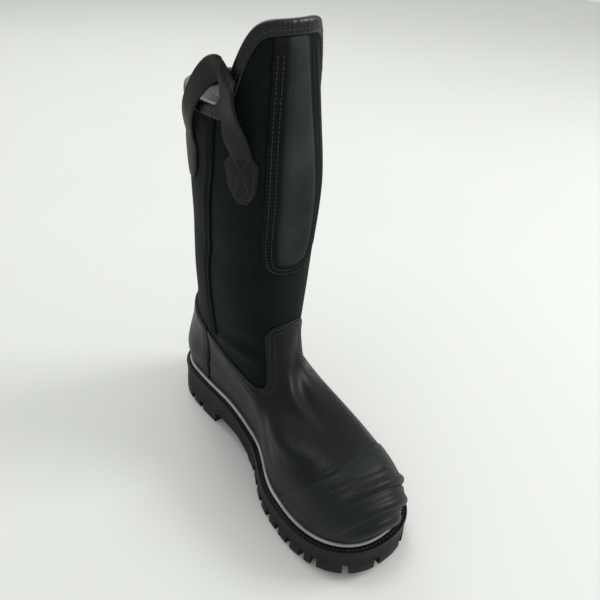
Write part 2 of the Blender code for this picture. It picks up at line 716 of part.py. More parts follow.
def stand_on_origin():
    """Move the empty so that the boot's box stands centred over the origin."""
    bpy.context.view_layer.update()
    graph = bpy.context.evaluated_depsgraph_get()
    corners = []
    for part in PARTS.objects:
        if part.type == "MESH":
            placed = part.evaluated_get(graph)
            corners += [placed.matrix_world @ vert.co for vert in placed.data.vertices]
    corners = np.array(corners)
    low, high = corners.min(axis=0), corners.max(axis=0)
    ROOT.location = (-(low[0] + high[0]) / 2.0, -(low[1] + high[1]) / 2.0, -low[2])


for old in list(bpy.data.objects):
    bpy.data.objects.remove(old)
PARTS = collection("firefighter_boot")
CUTTERS = collection("cutters")
ROOT = bpy.data.objects.new("boot", None)
PARTS.objects.link(ROOT)

build_outsole()
build_welt()
build_piping()
build_insole()
build_upper()
build_vamp()
build_toe_cap()
build_heel_counter()
build_shin_guard()
build_side_strips()
build_collar_binding()
build_pull_loops()
stand_on_origin()
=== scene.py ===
"""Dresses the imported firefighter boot: fine surfaces from the last's own function, sewing, materials, stage.

Lengths in the tables are millimetres.  "a" runs forward from the back of the sole, "x" to the wearer's left
(the outer side of this left boot), "z" up from the floor.  In the scene the toe points along -Y.
"""
import math

import bpy
import numpy as np
from mathutils import Matrix, Vector


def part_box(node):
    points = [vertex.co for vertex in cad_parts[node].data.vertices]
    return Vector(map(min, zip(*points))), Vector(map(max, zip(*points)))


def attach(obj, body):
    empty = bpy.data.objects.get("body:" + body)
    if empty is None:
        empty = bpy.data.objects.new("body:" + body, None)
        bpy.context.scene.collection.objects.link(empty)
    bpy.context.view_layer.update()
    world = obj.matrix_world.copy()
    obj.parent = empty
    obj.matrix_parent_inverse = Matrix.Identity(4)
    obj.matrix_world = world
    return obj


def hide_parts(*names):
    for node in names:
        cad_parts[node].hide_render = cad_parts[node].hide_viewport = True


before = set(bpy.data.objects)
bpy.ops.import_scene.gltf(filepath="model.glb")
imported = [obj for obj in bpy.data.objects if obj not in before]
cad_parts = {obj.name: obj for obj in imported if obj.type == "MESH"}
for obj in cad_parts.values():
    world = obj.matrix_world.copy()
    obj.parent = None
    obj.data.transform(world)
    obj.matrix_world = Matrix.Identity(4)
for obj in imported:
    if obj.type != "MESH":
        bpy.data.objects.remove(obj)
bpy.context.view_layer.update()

bl_info = {
    "name": "Firefighter boot",
    "version": (1, 0, 0),
    "blender": (4, 5, 0),
    "location": "View3D > Sidebar > Boot",
    "description": "Builds the dressed boot over its packed solids",
    "category": "Object",
}

MM = 0.001

# The last and the sole, as in the part's source
LENGTH = 322.0
HEEL_HEIGHT, BALL_HEIGHT, TOE_SPRING = 42.0, 27.0, 11.0
ARCH_FROM, ARCH_TO, SPRING_FROM, TOE_OF_LAST = 85.0, 185.0, 235.0, 310.0
COLLAR_LOW, COLLAR_RISE, COLLAR_FROM, COLLAR_TO = 358.0, 62.0, 108.0, 149.0
REACH_PLACES, REACH = (0.0, 0.25, 0.7, 1.0), (8.5, 8.0, 9.5, 10.5)
TREAD_SPRING, TREAD_SPRING_FROM = 10.0, 245.0
WALL, GAP = 3.0, 0.3
BEAD_ROW, CAP_ROW, SHAFT_ROW, TOP_ROW = 0.38, 0.5, 9.0, 13.0
PROFILE_COLUMNS = ("back_a", "back_z", "front_a", "front_z", "bend")
PROFILE = (
    (10, 42, 310, 38, 1.00), (6, 55, 313, 51, 0.95), (5, 68, 309, 66, 0.75), (6, 80, 292, 79, 0.45),
    (8, 92, 258, 87, 0.20), (11, 104, 222, 92, 0.05), (14, 116, 192, 99, 0.0), (17, 130, 170, 112, 0.0),
    (20, 150, 156, 140, 0.0), (24, 185, 152, 185, 0.0), (28, 235, 153, 235, 0.0), (31, 290, 157, 290, 0.0),
    (32, 345, 154, 345, 0.0), (33, 420, 149, 420, 0.0),
)
PLAN_COLUMNS = ("back_len", "front_len", "power", "front_x", "in_rear", "in_mid", "in_front",
                "out_rear", "out_mid", "out_front", "shift")
PLAN = (
    (38, 80, 2.4, -8, 36, 31, 49, 36, 41, 51, 0), (38, 78, 2.4, -8, 37, 33, 50, 37, 42, 52, 0),
    (38, 74, 2.4, -8, 37, 34, 47, 37, 41, 49, 0), (40, 72, 2.3, -8, 36, 34, 42, 36, 39, 42, 0),
    (42, 75, 2.2, -7, 35, 35, 37, 35, 37, 36, 0), (44, 75, 2.1, -6, 35, 36, 34, 35, 37, 32, 0),
    (46, 75, 2.1, -4, 35, 37, 34, 35, 37, 31, 0), (50, 70, 2.1, -2, 36, 38, 36, 36, 38, 33, 0),
    (56, 64, 2.2, -1, 38, 40, 39, 38, 41, 38, 1), (60, 62, 2.4, 0, 42, 43, 43, 42, 44, 43, 2),
    (62, 62, 2.4, 0, 45, 46, 46, 45, 48, 47, 3), (62, 62, 2.4, 0, 47, 48, 48, 47, 50, 49, 3),
    (62, 62, 2.4, 0, 46, 48, 47, 45, 47, 46, 2), (60, 60, 2.4, 0, 43, 45, 44, 40, 41, 40, 1),
)
ROW_MM = 13.0  # height of one level near the sole
TURN_STEP, LEVEL_STEP = 0.02, 0.05  # steps of the angle and the level for the face's directions
FINE_TURN, FINE_LEVEL = 0.004, 0.01  # and for the slopes in Newton steps
SLIDE_MOST, SLOPE_LEAST = 3.0, 0.15  # longest Newton step on the face, and the least slope it is taken for
CLOTH_TURN, SHAFT_CLOTH_TURN = 45.0, 48.0  # length of cloth map for one radian, on overlays and on the upper

# Overlay outlines, as in the part's source
COUNTER_EDGE = 71.0
COUNTER_TOP = ((71, 121), (50, 126), (20, 132), (0, 133))
VAMP_EDGE = ((71, 119), (99, 113), (120, 107.5), (140, 104), (155, 102), (163, 104))
TAB_LEFT, TAB_RIGHT, TAB_BOTTOM, TAB_TOP, TAB_RADIUS = -20.0, 22.0, 85.0, 163.0, 11.0
TAB_MIDDLE, TAB_REACH, TAB_BLEND = 161.0, 60.0, 20.0
CAP_EDGE_FOOT, CAP_EDGE_SLOPE = 220.0, 0.7
UNDER_CAP = 9.0  # how far the vamp runs on under the toe cap
# Shin guard: height, x of its inner side, x of its outer side
GUARD = ((232, -23, 27), (250, -25, 30), (295, -25, 30), (340, -23, 27), (380, -20, 23), (440, -16, 18))
# Low end of the shin guard, and the inset from its outline where painted shade on its sewn rim gives way to
# painted light on its raised middle
GUARD_BOTTOM, GUARD_PAINTED_SHADE_INSET = 216.0, 11.5
STRIP = ((87, 124), (85, 145), (84, 190), (90, 236), (98, 279), (104, 317), (107, 375))
OUTER_STRIP_BACK = 17.0
TAB_FOOT, VAMP_SIDE_END, COUNTER_TOP_END, GUARD_SEWN_TO = 104.0, 146.0, 22.0, 412.0  # ends of sewn lines
TUCK, TUCK_NEAR, TUCK_DEEP = 0.9, 4.0, 9.0  # how far the guard thins under the edging, and over what runs
MIDDLE_IN, MIDDLE_UNDER, MIDDLE_RUN = 10.0, 4.0, 7.0  # where its middle rises, in from its rim
SEWN_UNDER, PAINTED_SHADE_SOFT = 5.0, 1.5  # where its sewing starts under the edging, and the soft limit of the painted shade on its sewn rim
WAVE_SCALE = 0.314  # wave texture's scale for one thread to a length of one
ABOVE, BELOW, BEHIND = 240.0, -20.0, -20.0  # places past the upper where outlines are closed
# Angles and levels that the overlays' grids span
VAMP_GRID = ((-2.45, 2.45), (BEAD_ROW - 0.05, 9.2))
COUNTER_GRID = ((np.pi - 1.75, np.pi + 1.75), (BEAD_ROW - 0.05, 8.6))
CAP_GRID = ((-1.25, 1.25), (CAP_ROW - 0.05, 5.2))
GUARD_GRID = ((-0.95, 0.95), (9.2, 12.99))
STRIP_LEVELS = (6.6, 12.6)
UNDER_EDGING = 3.0  # how far the guard and the strips run on under the collar edging

# Soft folds: points (x, a, z) along the fold, half width, height (a trough is negative)
FOLD_STEPS, FOLD_END = 13, 0.1  # points along a fold, and the part of a half wave left out at its ends
FOLDS = (
    (((-5, 170, 112), (-13, 180, 104), (-15, 190, 99), (-15, 202, 96), (-15, 220, 92)), 6.5, 3.2),
    (((12, 155, 136), (6, 161, 123), (2, 174, 108), (-2, 192, 99), (-3, 211, 94), (-2, 230, 91)), 7.5, -2.8),
    (((-43, 198, 86), (-43, 214, 84), (-42, 231, 84)), 6.5, 2.4),
    (((-34, 163, 99), (-41, 179, 88), (-45, 191, 69), (-49, 206, 63)), 9.0, -2.6),
    (((-49, 228, 74), (-46, 243, 79), (-35, 248, 85)), 7.0, -1.8),
    (((-38, 100, 123), (-35, 124, 128), (-28, 144, 124), (-24, 154, 117)), 6.0, 2.2),
    (((-38, 96, 134), (-35, 126, 141), (-26, 148, 138)), 8.0, -1.8),
    (((36, 98, 126), (36, 124, 130), (28, 146, 124)), 7.0, 2.0),
    (((38, 96, 140), (38, 122, 146), (26, 148, 142)), 8.0, -1.8),
    (((10, 19, 150), (-8, 19, 152), (-26, 34, 158)), 9.0, -1.6),
    (((24, 26, 172), (4, 22, 168), (-18, 26, 174)), 9.0, 1.4),
    (((-43, 60, 236), (-44, 92, 228), (-40, 120, 236)), 14.0, -1.4),
    (((-46, 56, 272), (-47, 90, 284), (-44, 116, 276)), 16.0, 1.3),
    (((49, 52, 224), (49, 84, 232), (45, 116, 222)), 14.0, -1.4),
    (((52, 56, 286), (53, 88, 276), (50, 116, 288)), 16.0, 1.3),
)

# Pull loop from the front shield's point to the back one's
STRAP_COLUMNS = ("around", "height", "lift", "width", "tilt", "turn", "free")
STRAP = (
    (47, 288, 0.0, 9, 0, 0, 0.0), (47, 300, 0.0, 24, 0, 0, 0.0), (47, 319, 0.0, 29.5, 0, 0, 0.0),
    (47, 327, 0.4, 19, 0, 0, 0.0), (49, 340, 5.0, 20, -4, 12, 0.3), (51, 357, 8.5, 21, -6, 28, 0.9),
    (52, 372, 9.5, 21, -2, 32, 1.0), (53, 384, 8.5, 22, 28, 22, 1.0), (54, 388, 4.5, 22, 52, 0, 1.0),
    (58, 389, 4.0, 22, 46, 0, 1.0), (67, 387, 2.5, 21, 36, 0, 1.0), (81, 376, 3.0, 20, 22, 0, 1.0),
    (99, 350, 4.2, 20, 8, 0, 0.4), (109, 327, 0.4, 19, 0, 0, 0.0), (110, 319, 0.0, 29.5, 0, 0, 0.0),
    (110, 300, 0.0, 24, 0, 0, 0.0), (110, 288, 0.0, 9, 0, 0, 0.0),
)
SEWN_TOP, LIFT_OVER_BINDING = 327.0, 4.2
OUTER_LOOP = (28.0, 0.86, 0.0)  # turned back, lower over its sewn ends, and closer to the shaft

# Sole side, tread and their grooves
SOLE_SIDE = ((1.0, 0.0), (1.5, 0.05), (0.7, 0.5), (0.2, 0.55), (0.2, 1.0))
ARCH_PRISM = ((88, -6), (90, 13), (96, 16), (130, 14), (152, 6), (160, -6))
NOTCH_WIDTH, NOTCH_DEPTH, LUG_HEIGHT, CHEVRON = 6.0, 14.0, 11.0, 7.0
BARS = (170, 187, 204, 221, 238, 255, 272, 26, 44, 62)
EDGE_NOTCHES = (-36, -20, -4, 12, 28, -160, 180, 160)
WELT_INSIDE = 9.0

# Sewing: distances of its lines inside an overlay's edge, lengths and radii of stitches
FOOT_SEAMS, GUARD_SEAMS, STRIP_SEAMS = (3.0, 7.0), (3.5, 7.5), (2.4,)
PANEL_STITCH, STRIP_STITCH, COLLAR_STITCH = (2.5, 0.42), (2.4, 0.38), (2.5, 0.38)
WELT_PITCH, WELT_STITCH, WELT_CHANNEL = 4.2, (2.9, 0.55), 2.7
LOOP_PITCH, LOOP_STITCH = 2.6, (1.9, 0.34)
DENT_WIDTH = 1.3  # of the trough that a sewn line draws in
STITCH_LOOK = 0.8  # how far either side of a stitch its direction is taken


def linear(text):
    """sRGB hex to linear red, green and blue."""
    values = np.array([int(text[k:k + 2], 16) for k in (1, 3, 5)]) / 255.0
    return tuple(np.where(values <= 0.04045, values / 12.92, ((values + 0.055) / 1.055) ** 2.4))


def length(name, text, value):
    """A size property, given in millimetres and kept in metres."""
    return bpy.props.FloatProperty(name=name, description=text, default=value * MM, min=0.0, precision=4,
                                   unit="LENGTH")


def colour(name, text, value):
    """A colour property from an sRGB hex."""
    return bpy.props.FloatVectorProperty(name=name, description=text, subtype="COLOR", size=3,
                                         min=0.0, max=1.0, default=linear(value))


class BootSizes(bpy.types.PropertyGroup):
    """Thicknesses and widths of the boot's layers."""
    vamp: length("Vamp", "Thickness of the vamp leather", 1.8)
    counter: length("Counter", "Thickness of the heel counter", 2.2)
    cap: length("Toe cap", "Thickness of the toe cap", 3.6)
    rib: length("Rib", "Height of the toe cap's ribs", 2.7)
    guard: length("Shin guard", "Thickness of the shin guard's edge", 1.6)
    middle: length("Shin middle", "Rise of the shin guard's raised middle", 2.8)
    strip: length("Side strip", "Thickness of the side seam strips", 1.6)
    strip_width: length("Strip width", "Width of the side seam strips", 12.0)
    binding: length("Binding", "Thickness of the collar edging", 1.5)
    binding_width: length("Binding width", "Width of the collar edging outside", 8.5)
    binding_inside: length("Binding inside", "Width of the collar edging inside", 10.0)
    strap: length("Strap", "Thickness of the pull loops", 2.4)
    welt: length("Welt", "Thickness of the welt", 4.0)
    piping: length("Piping", "Radius of the piping bead", 1.8)
    insole: length("Insole", "Thickness of the insole", 4.0)
    stitch: length("Stitch", "Pitch of the stitching", 3.4)


class BootColours(bpy.types.PropertyGroup):
    """Colours of the boot's materials."""
    fabric: colour("Fabric", "Woven shaft fabric", "#0e1516")
    leather: colour("Leather", "Black leather of the vamp, counter and strips", "#0a0f10")
    guard: colour("Guard leather", "Matt leather of the shin guard", "#272b2c")
    cap: colour("Cap rubber", "Moulded rubber of the toe cap", "#0f1416")
    sole: colour("Sole rubber", "Lug rubber of the outsole and welt", "#111014")
    binding: colour("Binding", "Glossy edging of the collar", "#08090a")
    strap: colour("Strap leather", "Warm black leather of the pull loops", "#151112")
    piping: colour("Piping", "Silver grey bead", "#b3b3ba")
    lining: colour("Lining", "Pale grey felt inside", "#a6a6ab")
    thread: colour("Thread", "Sewing thread", "#383a44")
    strap_thread: colour("Strap thread", "Sewing thread of the pull loops", "#4c4345")
    floor: colour("Floor", "Pale floor", "#e6e8e4")
    surround: colour("Surround", "Light from all round", "#eff1ef")


def size(name):
    """One of the scene's boot sizes, in millimetres."""
    return getattr(bpy.context.scene.boot_sizes, name) / MM


def shade(name):
    """One of the scene's boot colours."""
    return tuple(getattr(bpy.context.scene.boot_colours, name))


# The last as a function of an angle and a level


def smoother(s):
    """Ease from 0 to 1 with level ends."""
    s = np.clip(s, 0.0, 1.0)
    return s * s * s * (s * (6.0 * s - 15.0) + 10.0)


def spline(table, columns, place):
    """Natural cubic spline through a table's rows, each named column at the row number place."""
    rows = np.array(table, float)
    count = len(rows)
    system = 4.0 * np.eye(count - 2) + np.eye(count - 2, k=1) + np.eye(count - 2, k=-1)
    bends = np.zeros_like(rows)
    bends[1:-1] = np.linalg.solve(system, 6.0 * (rows[:-2] - 2.0 * rows[1:-1] + rows[2:]))
    place = np.asarray(place, float)
    low = np.clip(np.floor(place).astype(int), 0, count - 2)
    u = (place - low)[..., None]
    w = 1.0 - u
    value = (w * rows[low] + u * rows[low + 1]
             + ((w ** 3 - w) * bends[low] + (u ** 3 - u) * bends[low + 1]) / 6.0)
    return {name: value[..., k] for k, name in enumerate(columns)}


def smooth_line(table, steps):
    """A table of points as a smooth line of so many points."""
    line = spline(table, range(len(table[0])), np.linspace(0, len(table) - 1, steps))
    return np.stack(list(line.values()), axis=-1)


def unit(vectors):
    """Vectors brought to length one."""
    return vectors / np.clip(np.linalg.norm(vectors, axis=-1, keepdims=True), 1e-9, None)


def step_lengths(points):
    """Distances from each point of a line to the next."""
    return np.linalg.norm(np.diff(points, axis=0), axis=-1)


def travel(lengths):
    """Distance gone at each point of a line, from the lengths of its steps."""
    return np.concatenate([[0.0], np.cumsum(lengths)])


def sole_top(a):
    """Height of the feather line: an eased step over the arch and a parabola up the toe."""
    arch = smoother((a - ARCH_FROM) / (ARCH_TO - ARCH_FROM))
    spring = np.clip((a - SPRING_FROM) / (TOE_OF_LAST - SPRING_FROM), 0.0, None)
    return HEEL_HEIGHT + (BALL_HEIGHT - HEEL_HEIGHT) * arch + TOE_SPRING * spring ** 2


def tread(a):
    """Height of the ground face: level, then a parabola up the toe."""
    share = np.clip((a - TREAD_SPRING_FROM) / (LENGTH - TREAD_SPRING_FROM), 0.0, None)
    return TREAD_SPRING * share ** 2


def surface(theta, row):
    """Upper's face: each level is a rounded outline between its back and front points, swept by the angle."""
    theta, row = np.broadcast_arrays(np.asarray(theta, float), np.asarray(row, float))
    side = spline(PROFILE, PROFILE_COLUMNS, row)
    plan = spline(PLAN, PLAN_COLUMNS, row)
    t = 0.5 + 0.5 * np.cos(theta)
    a = side["back_a"] + t * (side["front_a"] - side["back_a"])
    chord = side["back_z"] + t * (side["front_z"] - side["back_z"])
    heel, toe = sole_top(side["back_a"]), sole_top(side["front_a"])
    z = chord + side["bend"] * (sole_top(a) - heel - t * (toe - heel))
    power = plan["power"]
    from_back = np.clip(1.0 - (a - side["back_a"]) / plan["back_len"], 0.0, 1.0)
    from_front = np.clip(1.0 - (side["front_a"] - a) / plan["front_len"], 0.0, 1.0)
    ends = ((1.0 - from_back ** power) * (1.0 - from_front ** power)) ** (1.0 / power)
    to_mid, to_front = smoother((t - 0.12) / 0.33), smoother((t - 0.45) / 0.28)
    half = {}
    for name in ("in", "out"):
        rear, mid, front = (plan[name + place] for place in ("_rear", "_mid", "_front"))
        half[name] = rear + (mid - rear) * to_mid + (front - mid) * to_front
    centre = plan["front_x"] * smoother((t - 0.35) / 0.65) + plan["shift"]
    outward = np.where(np.sin(theta) >= 0.0, half["out"], -half["in"])
    return np.stack([centre + outward * ends, a, z], axis=-1)


def sweep(theta, row):
    """Step along the face from a small turn before a place to a small turn after it."""
    return surface(theta + TURN_STEP, row) - surface(theta - TURN_STEP, row)


def directions(theta, row):
    """Unit vectors round the face and out of it, from small steps of the angle and the level."""
    around = sweep(theta, row)
    up = surface(theta, row + LEVEL_STEP) - surface(theta, row - LEVEL_STEP)
    return unit(around), unit(np.cross(up, around))


def to_line(points, line):
    """Least distance from points to a bent line over its straight pieces, and its share along the line."""
    line = np.array(line, float)
    least = np.full(points.shape[:-1], np.inf)
    place = np.zeros(points.shape[:-1])
    for k, (start, stop) in enumerate(zip(line[:-1], line[1:])):
        run = stop - start
        share = np.clip(((points - start) @ run) / (run @ run), 0.0, 1.0)
        far = np.linalg.norm(points - start - share[..., None] * run, axis=-1)
        place = np.where(far < least, (k + share) / (len(line) - 1), place)
        least = np.minimum(least, far)
    return least, place


def folds(points):
    """Height of the soft folds: each falls off as a bell across its line and fades toward its ends."""
    height = np.zeros(points.shape[:-1])
    for line, width, rise in FOLDS:
        far, place = to_line(points, smooth_line(line, FOLD_STEPS))
        fade = np.sin(np.pi * (FOLD_END + (1.0 - 2.0 * FOLD_END) * place))
        height += rise * fade * np.exp(-(far / width) ** 2)
    return height


def form(theta, row, lift):
    """The upper's face with its folds, moved out along its own normal by the lift."""
    theta, row = np.broadcast_arrays(np.asarray(theta, float), np.asarray(row, float))
    base = surface(theta, row)
    out = directions(theta, row)[1]
    return base + out * (np.broadcast_to(lift, theta.shape) + folds(base))[..., None]


def row_at_height(z):
    """Level number of a height on the shaft."""
    rows = np.linspace(SHAFT_ROW - 1.0, TOP_ROW, 201)
    return np.interp(z, spline(PROFILE, PROFILE_COLUMNS, rows)["front_z"], rows)


def collar_row(theta, drop=0.0):
    """Level of the top line, or of a line a given height under it, by repeated substitution."""
    row = np.full_like(theta, 12.0)
    for _ in range(8):
        a = surface(theta, row)[..., 1]
        height = COLLAR_LOW + COLLAR_RISE * smoother((a - COLLAR_FROM) / (COLLAR_TO - COLLAR_FROM))
        row = row_at_height(height - drop)
    return row


def collar_stretch(theta):
    """Vertical length of one millimetre measured square to the sloping top line."""
    before, after = (surface(theta + k, collar_row(theta + k)) for k in (-0.06, 0.06))
    run = np.linalg.norm((after - before)[..., :2], axis=-1)
    return np.hypot(1.0, (after - before)[..., 2] / run)


def outline(theta, beyond):
    """Feather line moved outward in plan, square to itself."""
    run = sweep(theta, 0.0)
    out = unit(np.stack([-run[..., 1], run[..., 0]], axis=-1))
    return surface(theta, 0.0)[..., :2] + out * np.asarray(beyond, float)[..., None]


def level_loop(theta, beyond, height):
    """Loop at a distance beyond the feather line, at a height above it."""
    plan = outline(theta, np.broadcast_to(beyond, theta.shape))
    return np.concatenate([plan, (sole_top(plan[..., 1]) + height)[..., None]], axis=-1)


def reach(theta):
    """How far the sole stands out beyond the feather line."""
    return np.interp(0.5 + 0.5 * np.cos(theta), REACH_PLACES, REACH)


def angles(count):
    """Evenly spaced angles from the front over the outer side and round."""
    return np.arange(count) * (2.0 * np.pi / count)


# The part stands centred over the origin, so its tables are shifted as the welt's packed box says
WELT_LOOP = level_loop(angles(400), reach(angles(400)) + 0.8, 0.0)
WELT_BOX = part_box("welt")
SHIFT = (WELT_BOX[0][0] + WELT_BOX[1][0] - MM * (WELT_LOOP[:, 0].min() + WELT_LOOP[:, 0].max())) / 2.0
MIDDLE = (WELT_BOX[0][1] + WELT_BOX[1][1] + MM * (WELT_LOOP[:, 1].min() + WELT_LOOP[:, 1].max())) / 2.0


def to_scene(points):
    """Millimetres in the boot's own axes to metres in the scene."""
    points = np.asarray(points, float)
    x, y = points[..., 0] * MM + SHIFT, MIDDLE - points[..., 1] * MM
    return np.stack([x, y, points[..., 2] * MM], axis=-1)


# Meshes


def link(made):
    """Put an object in the scene."""
    bpy.context.scene.collection.objects.link(made)


def put(name, points, faces, materials, node, uv=None, marks=None, sharp=None):
    """New piece from points in millimetres and blocks of faces, riding on the boot for one of its nodes."""
    mesh = bpy.data.meshes.new(name)
    all_faces = [face for block in faces for face in block.tolist()]
    mesh.from_pydata(to_scene(points).reshape(-1, 3), [], all_faces)
    mesh.validate()
    mesh.shade_smooth()
    if sharp:
        mesh.set_sharp_from_angle(angle=math.radians(sharp))
    for item in materials:
        mesh.materials.append(item)
    if marks is not None:
        mesh.polygons.foreach_set("material_index", np.asarray(marks, np.int32))
    if uv is not None:
        corner = np.empty(len(mesh.loops), np.int32)
        mesh.loops.foreach_get("vertex_index", corner)
        layer = mesh.uv_layers.new(name="cloth")
        layer.data.foreach_set("uv", (np.asarray(uv, float).reshape(-1, 2)[corner] * MM).ravel())
    made = bpy.data.objects.new(name, mesh)
    link(made)
    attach(made, "root")
    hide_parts(node)
    return made


def quads(levels, count, ring_levels=False, ring_count=True):
    """Faces of a grid of levels by count, closed round either way where asked."""
    j = np.arange(levels if ring_levels else levels - 1)[:, None]
    i = np.arange(count if ring_count else count - 1)[None, :]
    up, on = (j + 1) % levels, (i + 1) % count
    corners = np.broadcast_arrays(j * count + i, j * count + on, up * count + on, up * count + i)
    return np.stack(corners, axis=-1).reshape(-1, 4)


def cap_strips(count, first, flip):
    """Strips from side to side that close a loop."""
    i = np.arange(1, count // 2 - 1)
    strips = first + np.stack([i, i + 1, count - i - 1, count - i], axis=-1)
    ends = first + np.array([(0, 1, count - 1), (count // 2 - 1, count // 2, count // 2 + 1)])
    return [strips[:, ::-1], ends[:, ::-1]] if flip else [strips, ends]


def closed_stack(levels, count):
    """Faces of a stack of loops, closed below and above."""
    last = (levels - 1) * count
    return [quads(levels, count), *cap_strips(count, 0, True), *cap_strips(count, last, False)]


def both_sides(cells, rim):
    """Faces of a grid and of its underside, whose points follow the grid's and share its rim."""
    below = np.arange(rim.size)
    below[~rim] = rim.size + np.arange((~rim).sum())
    return [cells, below[cells][:, ::-1]]


def inside(shape, u, v):
    """Signed distance to a closed outline, positive inside: least to its sides, sign by crossings."""
    shape = np.array(shape, float)
    least = np.full(u.shape, np.inf)
    within = np.zeros(u.shape, bool)
    for (u0, v0), (u1, v1) in zip(shape, np.roll(shape, -1, axis=0)):
        du, dv = u1 - u0, v1 - v0
        share = np.clip(((u - u0) * du + (v - v0) * dv) / max(du * du + dv * dv, 1e-9), 0.0, 1.0)
        least = np.minimum(least, np.hypot(u - u0 - share * du, v - v0 - share * dv))
        if dv:
            within ^= ((v0 > v) != (v1 > v)) & (u < u0 + du * (v - v0) / dv)
    return np.where(within, least, -least)


def soft_max(first, second, blend):
    """The larger of two values, rounded where they are within the blend of each other."""
    near = np.clip(blend - np.abs(first - second), 0.0, None)
    return np.maximum(first, second) + near * near / (4.0 * blend)


def arc(centre, radius, start, stop, steps=12):
    """Points of an arc, angles in degrees."""
    turn = np.radians(np.linspace(start, stop, steps + 1))
    return np.stack([centre[0] + radius * np.cos(turn), centre[1] + radius * np.sin(turn)], axis=-1)


def band(line, width):
    """Outline of a band of even width along a line."""
    along = np.gradient(line, axis=0)
    across = unit(np.stack([-along[:, 1], along[:, 0]], axis=-1)) * width / 2.0
    return np.concatenate([line + across, (line - across)[::-1]])


def level_steps(low, high, pitch):
    """Level numbers between two levels at an even pitch, by the mean of the front, a side and the back."""
    fine = np.linspace(low, high, 600)
    gone = travel(np.mean([step_lengths(surface(theta, fine)) for theta in (0.0, 1.6, np.pi)], axis=0))
    return np.interp(np.linspace(0.0, gone[-1], int(gone[-1] / pitch) + 1), gone, fine)


def slide(distance, theta, row, target):
    """Move places on the upper until a distance function reaches a target, by Newton steps down its slope."""
    for _ in range(6):
        base = surface(theta, row)
        value = distance(base, theta, row) - target
        east, north = surface(theta + FINE_TURN, row), surface(theta, row + FINE_LEVEL)
        per_theta = np.linalg.norm(east - base, axis=-1) / FINE_TURN
        per_row = np.linalg.norm(north - base, axis=-1) / FINE_LEVEL
        slope_theta = (distance(east, theta + FINE_TURN, row) - target - value) / FINE_TURN / per_theta
        slope_row = (distance(north, theta, row + FINE_LEVEL) - target - value) / FINE_LEVEL / per_row
        step = -value / np.clip(slope_theta ** 2 + slope_row ** 2, SLOPE_LEAST, None)
        step = np.clip(step, -SLIDE_MOST, SLIDE_MOST)
        theta = theta + step * slope_theta / per_theta
        row = np.clip(row + step * slope_row / per_row, 0.0, TOP_ROW)
    return theta, row


def panel(name, span, levels, distance, thick, edge, relief, material, node, slot, pitch=1.7):
    """Overlay on the upper: grid cells inside its outline, rim slid onto it, a rounded edge and its relief.

    The top lies over the upper by thick times a quarter circle of the distance from the outline, plus
    relief; the underside is the same grid sunk just under the fabric, and both share the rim.
    """
    row = level_steps(*levels, pitch)
    width = step_lengths(surface(np.linspace(*span, 200), np.mean(levels))).sum()
    count = int(width / pitch) + 1
    cells = quads(row.size, count, ring_count=False)
    theta, row = (grid.ravel() for grid in np.meshgrid(np.linspace(*span, count), row))
    depth = distance(surface(theta, row), theta, row)
    cells = cells[depth[cells].mean(axis=1) > 0.0]
    used, cells = np.unique(cells, return_inverse=True)
    cells = cells.reshape(-1, 4)
    theta, row = theta[used], row[used]
    rim = np.bincount(cells.ravel(), minlength=used.size) < 4
    theta[rim], row[rim] = slide(distance, theta[rim], row[rim], 0.0)
    base = surface(theta, row)
    depth = np.clip(distance(base, theta, row), 0.0, None)
    depth[rim] = 0.0
    rise = rounded(thick, depth / edge) + relief(base, depth) * (depth > 0.0)
    top = form(theta, row, np.where(rim, -GAP, GAP + rise))
    under = form(theta, row, -GAP)[~rim]
    uv = np.stack([theta * CLOTH_TURN, base[:, 2]], axis=-1)
    return put(name, np.concatenate([top, under]), both_sides(cells, rim), [material], node,
               uv=np.concatenate([uv, uv[~rim]]))


def rounded(height, share):
    """A quarter circle up to a height, by the share of its run."""
    return height * np.sqrt(1.0 - (1.0 - np.clip(share, 0.0, 1.0)) ** 2)


def plain(base, depth):
    """No relief."""
    return np.zeros(depth.shape)


# Outlines as signed distances over the upper


def over_bead(row, level):
    """Distance above the level where an overlay ends over the piping."""
    return (row - level) * ROW_MM


def counter_distance(base, theta, row):
    """Heel counter: side outline, above the piping."""
    top = smooth_line(COUNTER_TOP, 25)
    shape = [*top, (BEHIND, COUNTER_TOP[-1][1]), (BEHIND, BELOW), (COUNTER_EDGE, BELOW)]
    return np.minimum(inside(shape, base[..., 1], base[..., 2]), over_bead(row, BEAD_ROW))


def cap_edge(z):
    """Place of the toe cap's sloping back edge at a height."""
    return CAP_EDGE_FOOT + CAP_EDGE_SLOPE * (z - BALL_HEIGHT)


def cap_distance(base, theta, row):
    """Toe cap: in front of a sloping edge, above the piping."""
    before = (base[..., 1] - cap_edge(base[..., 2])) / math.hypot(1.0, CAP_EDGE_SLOPE)
    return np.minimum(before, over_bead(row, CAP_ROW))


def vamp_distance(base, theta, row):
    """Vamp: side outline joined softly to the rounded tab of the front outline, above the piping."""
    x, a, z = np.moveaxis(base, -1, 0)
    side = inside([*smooth_line(VAMP_EDGE, 41), (VAMP_EDGE[-1][0] + GAP, ABOVE),
                   (cap_edge(ABOVE) + UNDER_CAP, ABOVE), (cap_edge(BELOW) + UNDER_CAP, BELOW),
                   (COUNTER_EDGE, BELOW)], a, z)
    tab = inside([(TAB_LEFT, TAB_BOTTOM), (TAB_RIGHT, TAB_BOTTOM),
                  *arc((TAB_RIGHT - TAB_RADIUS, TAB_TOP - TAB_RADIUS), TAB_RADIUS, 0, 90),
                  *arc((TAB_LEFT + TAB_RADIUS, TAB_TOP - TAB_RADIUS), TAB_RADIUS, 90, 180)], x, z)
    front = np.minimum(side, TAB_TOP - z)
    tab = np.minimum(tab, TAB_REACH - np.abs(a - TAB_MIDDLE))
    return np.minimum(soft_max(front, tab, TAB_BLEND), over_bead(row, BEAD_ROW))


